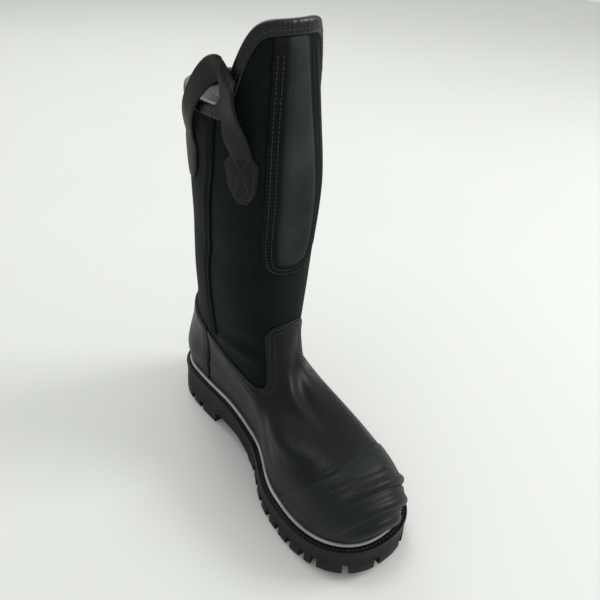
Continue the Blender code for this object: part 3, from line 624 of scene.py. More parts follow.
def under_binding(theta, base):
    """Distance under the collar edging's lower line."""
    turn = np.linspace(-np.pi, np.pi, 241)
    stretch = collar_stretch(turn)
    line = surface(turn, collar_row(turn, size("binding_width") * stretch))[:, 2]
    wrapped = (theta + np.pi) % (2.0 * np.pi) - np.pi
    return (np.interp(wrapped, turn, line) - base[..., 2]) / np.interp(wrapped, turn, stretch)


def guard_outline():
    """Shin guard in the front view: two smooth sides and an elliptic lower end."""
    z, inner, outer = smooth_line(GUARD, 41).T
    middle, half = (inner[0] + outer[0]) / 2.0, (outer[0] - inner[0]) / 2.0
    turn = np.radians(np.linspace(185, 355, 35))
    across = np.concatenate([inner[::-1], middle + half * np.cos(turn), outer])
    up = np.concatenate([z[::-1], z[0] + (z[0] - GUARD_BOTTOM) * np.sin(turn), z])
    return np.stack([across, up], axis=-1)


def guard_distance(base, theta, row):
    """Shin guard: front outline, running under the collar edging."""
    side = inside(guard_outline(), base[..., 0], base[..., 2])
    return np.minimum(side, under_binding(theta, base) + UNDER_EDGING)


def strip_distance(back):
    """Side seam strip: a band of even width along its line in the side view, under the collar edging."""
    shape = band(smooth_line(STRIP, 41) - (back, 0.0), size("strip_width"))

    def distance(base, theta, row):
        side = inside(shape, base[..., 1], base[..., 2])
        return np.minimum(side, under_binding(theta, base) + UNDER_EDGING)
    return distance


# Stitching


def locate(view, points, side):
    """Angle and level of places given in the side view (a, z) or the front view (x, z), by Newton steps."""
    points = np.asarray(points, float)
    axes = [1, 2] if view == "side" else [0, 2]
    span = np.linspace(0.05, np.pi - 0.05, 120) * side if view == "side" else np.linspace(-1.4, 1.4, 120)
    theta, row = (grid.ravel() for grid in np.meshgrid(span, np.linspace(0.2, 12.9, 200)))
    seen = surface(theta, row)[:, axes]
    near = ((points[:, None, :] - seen[None, :, :]) ** 2).sum(axis=-1).argmin(axis=1)
    theta, row = theta[near], row[near]
    for _ in range(8):
        here = surface(theta, row)[:, axes]
        slopes = np.stack([(surface(theta + FINE_TURN, row)[:, axes] - here) / FINE_TURN,
                           (surface(theta, row + FINE_LEVEL)[:, axes] - here) / FINE_LEVEL], axis=-1)
        slopes += 1e-6 * np.eye(2)
        move = np.linalg.solve(slopes, (points - here)[..., None])[..., 0]
        theta = theta + np.clip(move[:, 0], -0.1, 0.1)
        row = np.clip(row + np.clip(move[:, 1], -0.3, 0.3), 0.0, TOP_ROW)
    return theta, row


def stitch_runs(points, outs, pitch):
    """Places, directions and normals of stitches at an even pitch along a line of points."""
    gone = travel(step_lengths(points))
    count = max(int(gone[-1] / pitch), 1)
    at = (np.arange(count) + 0.5) * gone[-1] / count

    def carried(values, places):
        return np.stack([np.interp(places, gone, values[:, k]) for k in range(3)], axis=-1)
    run = carried(points, at + STITCH_LOOK) - carried(points, at - STITCH_LOOK)
    return carried(points, at), unit(run), unit(carried(outs, at))


def stitches(name, lines, pitch, long, radius, material, node, slot):
    """Joined short rods: each a six-sided spindle lying along its line, half sunk in what it holds."""
    runs = [stitch_runs(points, outs, pitch) for points, outs in lines]
    middle, run, out = (np.concatenate(part) for part in zip(*runs))
    aside = np.cross(run, out)
    count = len(middle)
    turn = angles(6)
    along, wide = np.array((-0.42, 0.0, 0.42)), np.array((0.75, 1.0, 0.75))
    ring = (middle[:, None, None] + run[:, None, None] * (along * long)[:, None, None]
            + out[:, None, None] * (radius * wide[:, None] * np.cos(turn))[..., None]
            + aside[:, None, None] * (radius * wide[:, None] * np.sin(turn))[..., None])
    tips = middle[:, None] + run[:, None] * np.array((-0.5, 0.5))[:, None] * long
    points = np.concatenate([ring.reshape(count, 18, 3), tips], axis=1)
    start = (np.arange(count) * 20)[:, None, None]
    sides = (start + quads(3, 6)[None]).reshape(-1, 4)
    i, on = np.arange(6), (np.arange(6) + 1) % 6
    back = (start + np.stack([on, i, np.full(6, 18)], axis=-1)[None]).reshape(-1, 3)
    front = (start + np.stack([12 + i, 12 + on, np.full(6, 19)], axis=-1)[None]).reshape(-1, 3)
    return put(name, points.reshape(-1, 3), [sides, back, front], [material], node)


def sew(name, distance, paths, insets, lift, stitch, node, slot):
    """Stitches along lines at even distances inside an overlay's outline, lying on it."""
    lines = []
    for theta, row in paths:
        for inset in insets:
            place = slide(distance, theta, row, inset)
            lines.append((form(*place, lift), directions(*place)[1]))
    stitches(name, lines, size("stitch"), *stitch, thread_material(), node, slot)


# Materials


def add(tree, kind, sockets=None, **settings):
    """One shader node: settings are its own attributes, sockets its inputs, linked or set."""
    made = tree.nodes.new(kind)
    for key, value in settings.items():
        setattr(made, key, value)
    for key, value in (sockets or {}).items():
        if isinstance(value, bpy.types.NodeSocket):
            tree.links.new(value, made.inputs[key])
        else:
            made.inputs[key].default_value = value
    return made


def coloured(tone, gain=1.0):
    """A colour with its alpha, scaled."""
    return (*(min(gain * part, 1.0) for part in tone), 1.0)


def finish(name, **sockets):
    """A new material, its tree and its shader, with the constants set on the shader's own sockets."""
    made = bpy.data.materials.new(name)
    made.use_nodes = True
    shader = made.node_tree.nodes["Principled BSDF"]
    for key, value in sockets.items():
        shader.inputs[key.replace("_", " ").title().replace("Ior", "IOR")].default_value = value
    return made, made.node_tree, shader


def blotches(tree, where, tone, scale, span, gains):
    """A colour that wanders between two gains of itself with soft noise, over a span of the noise."""
    noise = add(tree, "ShaderNodeTexNoise", {"Vector": where, "Scale": scale, "Detail": 4.0})
    ramp = add(tree, "ShaderNodeValToRGB", {"Fac": noise.outputs["Fac"]})
    for stop, place, gain in zip(ramp.color_ramp.elements, span, gains):
        stop.position = place
        stop.color = (*(gain * part for part in tone), 1.0)
    return ramp.outputs["Color"]


def dusted(tree, where, base, amount, dust):
    """Base colour with sparse pale specks of dust a fraction of a millimetre wide."""
    cells = add(tree, "ShaderNodeTexVoronoi", {"Vector": where, "Scale": 210.0})
    near = add(tree, "ShaderNodeMapRange", {"Value": cells.outputs["Distance"], "From Min": 0.05,
                                            "From Max": 0.14, "To Min": 1.0, "To Max": 0.0})
    pick = add(tree, "ShaderNodeSeparateColor", {"Color": cells.outputs["Color"]})
    few = add(tree, "ShaderNodeMath", {0: pick.outputs["Red"], 1: 1.0 - amount}, operation="GREATER_THAN")
    mask = add(tree, "ShaderNodeMath", {0: near.outputs["Result"], 1: few.outputs[0]}, operation="MULTIPLY")
    return add(tree, "ShaderNodeMix", {"Factor": mask.outputs[0], "A": base, "B": dust},
               data_type="RGBA").outputs["Result"]


def worn(tree, shader, where, scale, low, high, detail=5.0):
    """Gloss that wanders between two roughnesses with soft noise."""
    noise = add(tree, "ShaderNodeTexNoise", {"Vector": where, "Scale": scale, "Detail": detail})
    rough = add(tree, "ShaderNodeMapRange", {"Value": noise.outputs["Fac"], "To Min": low, "To Max": high})
    tree.links.new(rough.outputs["Result"], shader.inputs["Roughness"])


def skinned(tree, shader, base, heights, strength, deep):
    """Base colour and fine relief linked to the shader; the relief is the sum of the heights."""
    height, *more = heights
    for part in more:
        height = add(tree, "ShaderNodeMath", {0: height, 1: part}, operation="ADD").outputs[0]
    bump = add(tree, "ShaderNodeBump", {"Height": height, "Strength": strength, "Distance": deep})
    tree.links.new(base, shader.inputs["Base Color"])
    tree.links.new(bump.outputs["Normal"], shader.inputs["Normal"])


def leather(name, tone, rough, grain, coat=0.0, shine=0.22, flange=None):
    """Grained leather: pebbled cells of about a millimetre, blotches, worn gloss, and where asked painted
    shade on a sewn rim with painted light inside it.
    """
    made, tree, shader = finish(name, coat_weight=coat, coat_roughness=0.35, specular_ior_level=shine)
    where = add(tree, "ShaderNodeTexCoord").outputs["Object"]
    base = blotches(tree, where, tone, scale=26.0, span=(0.35, 0.7), gains=(0.8, 1.35))
    # Painted shade and light: the colour is scaled to 0.4 near the outline and to 1.3 further in, standing in
    # for shade on the guard's sewn rim and side light on its raised middle
    if flange:
        inset = add(tree, "ShaderNodeAttribute", attribute_name="inset").outputs["Fac"]
        share = add(tree, "ShaderNodeMapRange", {"Value": inset, "From Min": (flange - PAINTED_SHADE_SOFT) * MM,
                                                 "From Max": (flange + PAINTED_SHADE_SOFT) * MM,
                                                 "To Min": 0.4, "To Max": 1.3}).outputs["Result"]
        base = add(tree, "ShaderNodeMix", {"Factor": 1.0, "A": base, "B": share}, data_type="RGBA",
                   blend_type="MULTIPLY").outputs["Result"]
    base = dusted(tree, where, base, 0.006, coloured(tone, 9.0))
    worn(tree, shader, where, 60.0, rough - 0.1, rough + 0.12)
    cells = add(tree, "ShaderNodeTexVoronoi", {"Vector": where, "Scale": 1.0 / (grain * MM)},
                feature="SMOOTH_F1").outputs["Distance"]
    fine = add(tree, "ShaderNodeTexNoise", {"Vector": where, "Scale": 420.0, "Detail": 3.0}).outputs["Fac"]
    skinned(tree, shader, base, (cells, fine), strength=0.35, deep=0.00025)
    return made


def rubber(name, tone, rough, dust):
    """Moulded rubber: fine skin, soft blotches of bloom, sparse dust."""
    made, tree, shader = finish(name, specular_ior_level=0.25)
    where = add(tree, "ShaderNodeTexCoord").outputs["Object"]
    base = blotches(tree, where, tone, scale=34.0, span=(0.3, 0.75), gains=(0.75, 1.4))
    base = dusted(tree, where, base, dust, coloured(tone, 14.0))
    worn(tree, shader, where, 45.0, rough - 0.12, rough + 0.12)
    skin = add(tree, "ShaderNodeTexNoise", {"Vector": where, "Scale": 900.0, "Detail": 2.0}).outputs["Fac"]
    skinned(tree, shader, base, (skin,), strength=0.3, deep=0.0002)
    return made


def woven(name, tone, rough, thread, sheen):
    """Plain weave on the cloth's own map: two sets of crossing threads, slubs and faded patches."""
    made, tree, shader = finish(name, roughness=rough, sheen_weight=sheen, sheen_roughness=0.5,
                                specular_ior_level=0.08)
    coords = add(tree, "ShaderNodeTexCoord").outputs
    where = coords["Object"]
    base = blotches(tree, where, tone, scale=18.0, span=(0.3, 0.75), gains=(0.8, 1.3))
    tint = blotches(tree, where, (1.0, 1.0, 1.0), scale=520.0, span=(0.4, 0.7), gains=(0.72, 1.25))
    base = add(tree, "ShaderNodeMix", {"Factor": 1.0, "A": base, "B": tint}, data_type="RGBA",
               blend_type="MULTIPLY").outputs["Result"]
    base = dusted(tree, where, base, 0.006, coloured(tone, 10.0))
    scale = WAVE_SCALE / (thread * MM)
    warp, weft = (add(tree, "ShaderNodeTexWave", {"Vector": coords["UV"], "Scale": scale},
                      bands_direction=way).outputs["Fac"] for way in ("X", "Y"))
    cross = add(tree, "ShaderNodeMath", {0: warp, 1: weft}, operation="MAXIMUM").outputs[0]
    fleck = add(tree, "ShaderNodeTexNoise", {"Vector": where, "Scale": 700.0, "Detail": 2.0}).outputs["Fac"]
    skinned(tree, shader, base, (cross, fleck), strength=0.5, deep=0.0003)
    return made


def made_once(name, maker, tone, **facts):
    """A material by its name, made in one of the boot's colours the first time it is asked for."""
    return bpy.data.materials.get(name) or maker(name, shade(tone), **facts)


def thread_material():
    """Sewing thread, dark and slightly glossy."""
    return made_once("sewing_thread", leather, "thread", rough=0.55, grain=0.4)


def black_leather():
    """Smooth black leather with a soft sheen."""
    return made_once("smooth_black_leather", leather, "leather", rough=0.4, grain=1.1)


def felt_lining():
    """Pale felt of the lining and the insole."""
    return made_once("felt_lining", woven, "lining", rough=0.95, thread=0.8, sheen=0.2)


# Pieces


class BOOT_OT_sole(bpy.types.Operator):
    """Outsole with its lugs, the welt with its sewing, and the pale piping bead"""
    bl_idname = "boot.sole"
    bl_label = "Sole, welt and piping"

    def execute(self, context):
        build_outsole()
        build_welt()
        build_piping()
        return {"FINISHED"}


def cutter(pairs):
    """Object that cuts: joined prisms, each between a pair of loops, with their faces turned outward."""
    points, faces, first = [], [], 0
    for pair in pairs:
        low, high = to_scene(pair)
        if np.cross(low, np.roll(low, -1, axis=0)).sum(axis=0) @ (high - low)[0] < 0.0:
            low, high = low[::-1], high[::-1]
        loop = first + np.arange(len(low))
        points += [low, high]
        faces += [*(first + quads(2, len(low))).tolist(), loop[::-1].tolist(), (loop + len(low)).tolist()]
        first += 2 * len(low)
    mesh = bpy.data.meshes.new("cutter")
    mesh.from_pydata(np.concatenate(points), [], faces)
    return bpy.data.objects.new("cutter", mesh)


def groove(line, level):
    """Pair of loops: a band along a line in plan, at the lugs' height under and over a level."""
    shape = band(line, NOTCH_WIDTH)
    return [np.column_stack([shape, np.full(len(shape), level + k * LUG_HEIGHT)]) for k in (-1, 1)]


def bar_groove(a):
    """Groove across the tread at one place, bent forward in the middle."""
    theta = np.linspace(0.0, np.pi, 721)
    ends = []
    for side in (1.0, -1.0):
        edge = outline(side * theta, reach(theta) + NOTCH_WIDTH)
        ends.append(edge[np.abs(edge[:, 1] - a).argmin()])
    middle = (ends[0] + ends[1]) / 2.0 + (0.0, CHEVRON)
    return groove(np.array([ends[0], middle, ends[1]]), tread(a))


def notch_groove(degrees):
    """Short groove in the tread's rim at an angle round the sole."""
    theta = np.radians(np.array([degrees, degrees], float))
    line = outline(theta, reach(theta) + (NOTCH_WIDTH, -NOTCH_DEPTH))
    return groove(np.array([line[0], line.mean(axis=0), line[1]]), tread(line[0][1]))


def build_outsole():
    """Loops at the sole's stepped side, closed above and below, with the tread's grooves cut out."""
    theta = angles(320)
    bed, under_welt = -WELT_INSIDE - GAP, -size("welt") - 2.0 * GAP
    loops = []
    for out, share in SOLE_SIDE:
        loop = level_loop(theta, reach(theta) + out, under_welt)
        ground = tread(loop[:, 1])
        loop[:, 2] = ground + share * (loop[:, 2] - ground)
        loops.append(loop)
    loops += [level_loop(theta, bed, under_welt), level_loop(theta, bed, -2.0 * GAP)]
    lug_rubber = made_once("lug_rubber", rubber, "sole", rough=0.62, dust=0.012)
    sole = put("outsole_rubber", np.array(loops), closed_stack(len(loops), theta.size), [lug_rubber],
               "outsole")
    side = np.array(ARCH_PRISM, float)
    arch = [np.column_stack([np.full(len(side), x), side]) for x in (-LENGTH / 2.0, LENGTH / 2.0)]
    tools = [cutter([arch]), cutter(map(bar_groove, BARS)), cutter(map(notch_groove, EDGE_NOTCHES))]
    for tool in tools:
        link(tool)
        cut = sole.modifiers.new("cut", "BOOLEAN")
        cut.operation = "DIFFERENCE"
        cut.solver = "EXACT"
        cut.object = tool
    bake(sole)
    for tool in tools:
        bpy.data.objects.remove(tool)
    sole.data.set_sharp_from_angle(angle=math.radians(30))


def bake(piece):
    """Replace an object's mesh by its modified one and drop the modifiers."""
    graph = bpy.context.evaluated_depsgraph_get()
    graph.update()
    mesh = bpy.data.meshes.new_from_object(piece.evaluated_get(graph))
    old = piece.data
    piece.modifiers.clear()
    piece.data = mesh
    mesh.name = old.name
    bpy.data.meshes.remove(old)


def build_welt():
    """Profile of the strip carried round the feather line: rounded outer edge and a sunk sewing channel."""
    theta = angles(480)
    outer, thick = reach(theta), size("welt")
    # How far out, how high, and whether from the sole's reach or from the feather line
    profile = ((-WELT_INSIDE, -thick, 0), (0.0, -thick, 1), (0.5, -0.85 * thick, 1), (0.8, -0.6 * thick, 1),
               (0.7, -0.35 * thick, 1), (0.3, -0.12 * thick, 1), (-0.5, -GAP, 1), (-1.8, -GAP, 1),
               (-2.2, -GAP - 0.5, 1), (-3.2, -GAP - 0.5, 1), (-3.6, -GAP, 1), (-WELT_INSIDE, -GAP, 0))
    loops = [level_loop(theta, out + outer * far, height) for out, height, far in profile]
    material = made_once("smooth_welt_rubber", rubber, "sole", rough=0.5, dust=0.02)
    put("welt_strip", np.array(loops), [quads(len(loops), theta.size, ring_levels=True)[:, ::-1]], [material],
        "welt", sharp=50)
    turn = np.linspace(0.0, 2.0 * np.pi, 700)
    line = level_loop(turn, reach(turn) - WELT_CHANNEL, -GAP - 0.05)
    up = np.broadcast_to((0.0, 0.0, 1.0), line.shape)
    stitches("welt_sewing", [(line, up)], WELT_PITCH, *WELT_STITCH, thread_material(), "welt", "welt_rubber")


def build_piping():
    """Circle carried round the feather line just clear of the upper's flare."""
    theta, radius = angles(480), size("piping")
    step = outline(theta, np.ones_like(theta)) - outline(theta, np.zeros_like(theta))
    flare = [((surface(theta, row) - surface(theta, 0.0))[:, :2] * step).sum(axis=-1)
             for row in np.linspace(0.0, BEAD_ROW, 4)]
    middle = np.clip(np.max(flare, axis=0), 0.0, None) + GAP + radius
    loops = [level_loop(theta, middle + radius * math.cos(t), radius * (1.0 + math.sin(t)))
             for t in angles(14)]
    made, tree, shader = finish("silver_piping", specular_ior_level=0.5)
    where = add(tree, "ShaderNodeTexCoord").outputs["Object"]
    base = blotches(tree, where, shade("piping"), scale=60.0, span=(0.25, 0.7), gains=(0.72, 1.05))
    tree.links.new(base, shader.inputs["Base Color"])
    worn(tree, shader, where, 300.0, 0.3, 0.5, detail=2.0)
    put("piping_bead", np.array(loops), [quads(len(loops), theta.size, ring_levels=True)], [made],
        "piping")


class BOOT_OT_upper(bpy.types.Operator):
    """Hollow upper of woven fabric with its pale felt lining, and the insole"""
    bl_idname = "boot.upper"
    bl_label = "Upper, lining and insole"

    def execute(self, context):
        build_upper()
        build_insole()
        return {"FINISHED"}


def build_upper():
    """The last's face from the feather line to the top line, then its inner face back down, as one ring."""
    theta = angles(300)
    level = level_steps(0.0, TOP_ROW, 2.4)[:, None]
    squeeze = (collar_row(theta) - SHAFT_ROW) / (TOP_ROW - SHAFT_ROW)
    rows = np.where(level < SHAFT_ROW, level, SHAFT_ROW + (level - SHAFT_ROW) * squeeze)
    turn = np.broadcast_to(theta, rows.shape)
    outer, inner = form(turn, rows, 0.0), form(turn, rows, -WALL)[::-3]
    points = np.concatenate([outer, inner])
    faces = quads(len(points), theta.size, ring_levels=True)
    marks = (np.arange(len(faces)) // theta.size >= len(outer)).astype(int)
    gone = travel(step_lengths(outer).mean(axis=1))
    around = np.abs(theta - np.pi)[None, :] * SHAFT_CLOTH_TURN
    cloth = np.stack(np.broadcast_arrays(around, gone[:, None]), axis=-1)
    fabric = made_once("woven_shaft_fabric", woven, "fabric", rough=0.82, thread=1.1, sheen=0.05)
    put("upper_shell", points, [faces], [fabric, felt_lining()], "upper",
        uv=np.concatenate([cloth, cloth[::-3]]), marks=marks)


def build_insole():
    """Loops inside the feather line, rounded at the rim, closed above and below."""
    theta = angles(160)
    inset, thick = -WALL - 3.0 * GAP, size("insole")
    loops = np.array([level_loop(theta, inset - back, GAP + height) for back, height in
                      ((0.0, 0.0), (0.0, thick - 1.2), (0.4, thick - 0.3), (1.4, thick), (6.0, thick + 0.2))])
    put("insole_bed", loops, closed_stack(len(loops), theta.size), [felt_lining()], "insole",
        uv=loops[..., :2])


class BOOT_OT_foot_panels(bpy.types.Operator):
    """Vamp and heel counter in black leather with their double sewing"""
    bl_idname = "boot.foot_panels"
    bl_label = "Vamp and heel counter"

    def execute(self, context):
        build_vamp()
        build_counter()
        return {"FINISHED"}


def seam_dents(insets, deep):
    """Relief of sewn lines: a shallow trough at each distance inside the edge."""
    return lambda base, depth: -deep * sum(np.exp(-((depth - at) / DENT_WIDTH) ** 2) for at in insets)


def build_vamp():
    """Overlay of the vamp's outline; two sewn lines follow its upper edge and its tab."""
    thick = size("vamp")
    panel("vamp_leather", *VAMP_GRID, vamp_distance, thick, 1.4, seam_dents(FOOT_SEAMS, 0.5),
          black_leather(), "vamp", "black_leather")
    edge = smooth_line(VAMP_EDGE[:-1], 60)[2:]
    edge = edge[edge[:, 0] < VAMP_SIDE_END]
    top, paths = TAB_TOP - TAB_RADIUS, []
    for side, x in ((-1.0, TAB_LEFT), (1.0, TAB_RIGHT)):
        corner = x - side * TAB_RADIUS
        foot = arc((x + side * TAB_RADIUS, TAB_FOOT + TAB_RADIUS), TAB_RADIUS, 270, 360 if side < 0 else 180)
        rise = np.stack([np.full(14, x), np.linspace(TAB_FOOT + TAB_RADIUS + 2.0, top, 14)], axis=-1)
        bend = arc((corner, top), TAB_RADIUS, 180 if side < 0 else 0, 90)
        across = np.stack([np.linspace(corner, 1.0, 8)[1:], np.full(7, TAB_TOP)], axis=-1)
        tab = locate("front", np.concatenate([foot, rise, bend, across]), 1.0)
        paths.append([np.concatenate(part) for part in zip(locate("side", edge, side), tab)])
    sew("vamp_sewing", vamp_distance, paths, FOOT_SEAMS, thick + 0.15, PANEL_STITCH, "vamp", "black_leather")


def build_counter():
    """Overlay of the counter's outline; two sewn lines follow its front edges and its top."""
    thick = size("counter")
    panel("heel_counter_leather", *COUNTER_GRID, counter_distance, thick, 1.6, seam_dents(FOOT_SEAMS, 0.5),
          black_leather(), "heel_counter", "black_leather")
    front = np.stack([np.full(30, COUNTER_EDGE), np.linspace(52, 118, 30)], axis=-1)
    top = smooth_line(COUNTER_TOP, 30)[1:]
    line = np.concatenate([front, top[top[:, 0] > COUNTER_TOP_END]])
    paths = [locate("side", line, side) for side in (-1.0, 1.0)]
    sew("counter_sewing", counter_distance, paths, FOOT_SEAMS, thick + 0.15, PANEL_STITCH, "heel_counter",
        "black_leather")


class BOOT_OT_toe_cap(bpy.types.Operator):
    """Moulded toe cap with its straight groove and curved ribs"""
    bl_idname = "boot.toe_cap"
    bl_label = "Toe cap"

    def execute(self, context):
        build_toe_cap()
        return {"FINISHED"}


# Ribs of the toe cap: place of the middle, half width, crease from the middle, x of the inner end
RIBS = ((294.5, 5.0, 5.8, -58.0), (313.0, 5.0, 5.6, -56.0), (326.5, 4.0, -5.0, -50.0))
RIB_SLOPE, RIB_SKEW, RIB_PLACE = 0.5, 0.17, 81.0
RIB_RUN, RIB_LOW, RIB_FULL_FROM, RIB_FULL_RUN = 26.0, 0.4, -45.0, 60.0  # how a rib rises from its inner end
CREASE_DEPTH, CREASE_WIDTH = 1.4, 1.2
GROOVE_PLACE, GROOVE_FROM, GROOVE_TO, GROOVE_END = 281.5, -38.0, 20.0, 3.0
GROOVE_DEPTH, GROOVE_WIDTH = 1.6, 0.9
CAP_STEP, CAP_STEP_RUN = 1.3, 10.0  # how far the cap thins toward its back edge, and over what run
CAP_RIM = 4.0  # run from the outline over which the relief rises


def cap_relief(base, depth):
    """Round ribs on slanting planes, each with a thin crease along it, and a straight groove behind them."""
    x, a, z = np.moveaxis(base, -1, 0)
    place = a - RIB_SLOPE * (z - RIB_PLACE) - RIB_SKEW * x
    full = RIB_LOW + (1.0 - RIB_LOW) * smoother((x - RIB_FULL_FROM) / RIB_FULL_RUN)
    height = np.zeros(depth.shape)
    for middle, half, crease, inner_end in RIBS:
        swell = smoother((x - inner_end) / RIB_RUN) * full
        height += size("rib") * swell * np.clip(1.0 - ((place - middle) / half) ** 2, 0.0, None)
        height -= CREASE_DEPTH * swell * np.exp(-((place - middle - crease) / CREASE_WIDTH) ** 2)
    run = smoother((x - GROOVE_FROM) / GROOVE_END) * smoother((GROOVE_TO - x) / GROOVE_END)
    height -= GROOVE_DEPTH * run * np.exp(-((place - GROOVE_PLACE) / GROOVE_WIDTH) ** 2)
    return height * smoother(depth / CAP_RIM) - CAP_STEP * (1.0 - smoother((a - cap_edge(z)) / CAP_STEP_RUN))


def build_toe_cap():
    """Overlay of the cap's outline with ribs and groove as relief, on a fine grid."""
    skin = made_once("moulded_cap_rubber", rubber, "cap", rough=0.45, dust=0.02)
    panel("toe_cap_rubber", *CAP_GRID, cap_distance, size("cap") - 0.4, 6.0, cap_relief, skin,
          "toe_cap", "cap_rubber", pitch=0.85)


class BOOT_OT_shaft_panels(bpy.types.Operator):
    """Shin guard with its raised middle and double sewing, and the strips over the side seams"""
    bl_idname = "boot.shaft_panels"
    bl_label = "Shin guard and side strips"

    def execute(self, context):
        build_shin_guard()
        build_side_strips()
        return {"FINISHED"}


def build_shin_guard():
    """Overlay of the guard's outline, flat at its sewn rim and raised inside it; two sewn lines follow it.

    The attribute "inset" keeps each point's distance from the outline, for the painted shade on the sewn rim
    and the painted light on the raised middle.
    """
    thick, shape = size("guard"), guard_outline()
    dents = seam_dents(GUARD_SEAMS, 0.45)

    def relief(base, depth):
        side = inside(shape, base[..., 0], base[..., 2])
        tuck = smoother((side - depth) / TUCK_NEAR) * (1.0 - smoother(depth / TUCK_DEEP))
        middle = smoother(np.minimum(side - MIDDLE_IN, depth - MIDDLE_UNDER) / MIDDLE_RUN)
        return size("middle") * middle - TUCK * tuck + dents(base, depth)

    # This material paints shade on the guard's sewn rim and light on its raised middle, through the inset ramp
    material = made_once("matt_guard_leather", leather, "guard", rough=0.68, grain=0.9, shine=0.06,
                         flange=GUARD_PAINTED_SHADE_INSET)
    made = panel("shin_guard_panel", *GUARD_GRID, guard_distance, thick, 1.6, relief, material,
                 "shin_guard", "guard_leather")
    places = np.empty(3 * len(made.data.vertices))
    made.data.vertices.foreach_get("co", places)
    inset = made.data.attributes.new("inset", "FLOAT", "POINT")
    inset.data.foreach_set("value", MM * inside(shape, (places[0::3] - SHIFT) / MM, places[2::3] / MM))
    theta, row = locate("front", shape[shape[:, 1] < GUARD_SEWN_TO], 1.0)
    low = under_binding(theta, surface(theta, row)) > SEWN_UNDER
    start = np.argmax(low)
    path = [np.roll(part, -start)[:low.sum()] for part in (theta, row)]
    sew("guard_sewing", guard_distance, [path], GUARD_SEAMS, thick + 0.45, PANEL_STITCH, "shin_guard",
        "guard_leather")


def build_side_strips():
    """Overlay of each strip's band, sewn along both edges."""
    thick = size("strip")
    matt = made_once("matt_strip_leather", leather, "leather", rough=0.75, grain=0.9, shine=0.08)
    for name, side, back, span in (("medial", -1.0, 0.0, (-2.3, -0.9)),
                                   ("lateral", 1.0, OUTER_STRIP_BACK, (1.0, 2.5))):
        distance = strip_distance(back)
        panel("strip_" + name, span, STRIP_LEVELS, distance, thick, 2.2, plain, matt,
              "side_strip_" + name, "black_leather", pitch=1.3)
        line = smooth_line(STRIP[:-1], 60)[2:] - (back, 0.0)
        paths = [locate("side", line + (share * size("strip_width"), 0.0), side) for share in (-0.5, 0.5)]
        sew("strip_sewing_" + name, distance, paths, STRIP_SEAMS, thick + 0.25, STRIP_STITCH,
            "side_strip_" + name, "black_leather")


class BOOT_OT_collar(bpy.types.Operator):
    """Glossy edging folded over the top line, with small wrinkles and sewing"""
    bl_idname = "boot.collar"
    bl_label = "Collar edging"

    def execute(self, context):
        build_collar()
        return {"FINISHED"}


# Collar edging: its clearance from the upper, and its ripples (waves round it, phase, height)
EDGING_CLEAR = 0.6
RIPPLES = ((61, 0.4, 0.09), (97, 1.9, 0.08), (151, 0.7, 0.05))


def build_collar():
    """A rounded fold carried round the top line, down its outside and inside, rippled along its length."""
    theta = angles(720)
    stretch, start = collar_stretch(theta), collar_row(theta)
    wide, deep = size("binding_width"), size("binding_inside")
    near, far = EDGING_CLEAR, EDGING_CLEAR + size("binding")
    wave = sum(np.sin(theta * k + p) * h for k, p, h in RIPPLES)
    outside = ((near - 0.5, wide), (far - 0.6, wide + 0.1), (far, wide - 1.0), (far + 0.1, wide * 0.72),
               (far - 0.25, wide * 0.55), (far + 0.25, wide * 0.3), (far + 0.2, 1.5))
    loops = [form(theta, collar_row(theta, drop * stretch), lift + wave * min(k, 3) / 3.0)
             for k, (lift, drop) in enumerate(outside)]
    for turn in np.linspace(0.0, np.pi, 9)[1:-1]:
        fold = (WALL / 2.0 + far + wave * 0.5) * math.cos(turn) - WALL / 2.0
        loop = form(theta, start, fold)
        loop[:, 2] += far * math.sin(turn) ** 0.7 * stretch
        loops.append(loop)
    loops += [form(theta, collar_row(theta, drop * deep / wide * stretch), -WALL - lift)
              for lift, drop in outside[::-1]]
    made = made_once("glossy_edging", leather, "binding", rough=0.36, grain=1.6, coat=0.3, shine=0.18)
    put("collar_edging", np.array(loops), [quads(len(loops), theta.size, ring_levels=True)], [made],
        "collar_binding")
    turn = np.linspace(0.0, 2.0 * np.pi, 900)
    row = collar_row(turn, 0.55 * wide * collar_stretch(turn))
    line = form(turn, row, far - 0.05), directions(turn, row)[1]
    stitches("collar_sewing", [line], size("stitch"), *COLLAR_STITCH, thread_material(), "collar_binding",
             "binding_gloss")


class BOOT_OT_pull_loops(bpy.types.Operator):
    """Two flat pull loops, each sewn on with a shield at either end"""
    bl_idname = "boot.pull_loops"
    bl_label = "Pull loops"

    def execute(self, context):
        build_pull_loops()
        return {"FINISHED"}


def strap_grid(side, hang, along, across):
    """Middle face of a pull loop: its table's line carried over the shaft, crossed by its width."""
    turn, rise, spread = hang
    places = np.linspace(0, len(STRAP) - 1, along)
    strap = spline(STRAP, STRAP_COLUMNS, places)
    widths = np.interp(places, np.arange(len(STRAP)), [row[STRAP_COLUMNS.index("width")] for row in STRAP])
    theta = side * np.radians(strap["around"] + turn)
    above = np.clip(strap["height"] - SEWN_TOP, 0.0, None)
    row = row_at_height(strap["height"] - (1.0 - rise) * above)
    beyond = np.clip(strap["lift"] - LIFT_OVER_BINDING, 0.0, None)
    lift = GAP + size("strap") / 2.0 + np.clip(strap["lift"] - (1.0 - spread) * beyond, 0.0, None)
    around, out = directions(theta, row)
    tilt, aim = np.radians(strap["tilt"])[:, None], np.radians(spread * strap["turn"])[:, None]
    way = (out * np.sin(aim) - side * around * np.cos(aim)) * np.cos(tilt)
    way -= np.array((0.0, 0.0, 1.0)) * np.sin(tilt)
    middle = surface(theta, row) + out * lift[:, None]
    per_radian = np.linalg.norm(sweep(theta, row), axis=-1) / (2.0 * TURN_STEP)
    free = np.clip(strap["free"], 0.0, 1.0)[:, None, None]
    aside = np.linspace(-0.5, 0.5, across) * widths[:, None]
    turned = theta[:, None] - side * aside / per_radian[:, None]
    level = np.broadcast_to(row[:, None], turned.shape)
    sewn = surface(turned, level) + directions(turned, level)[1] * lift[:, None, None]
    return sewn * (1.0 - free) + (middle[:, None] + way[:, None] * aside[..., None]) * free


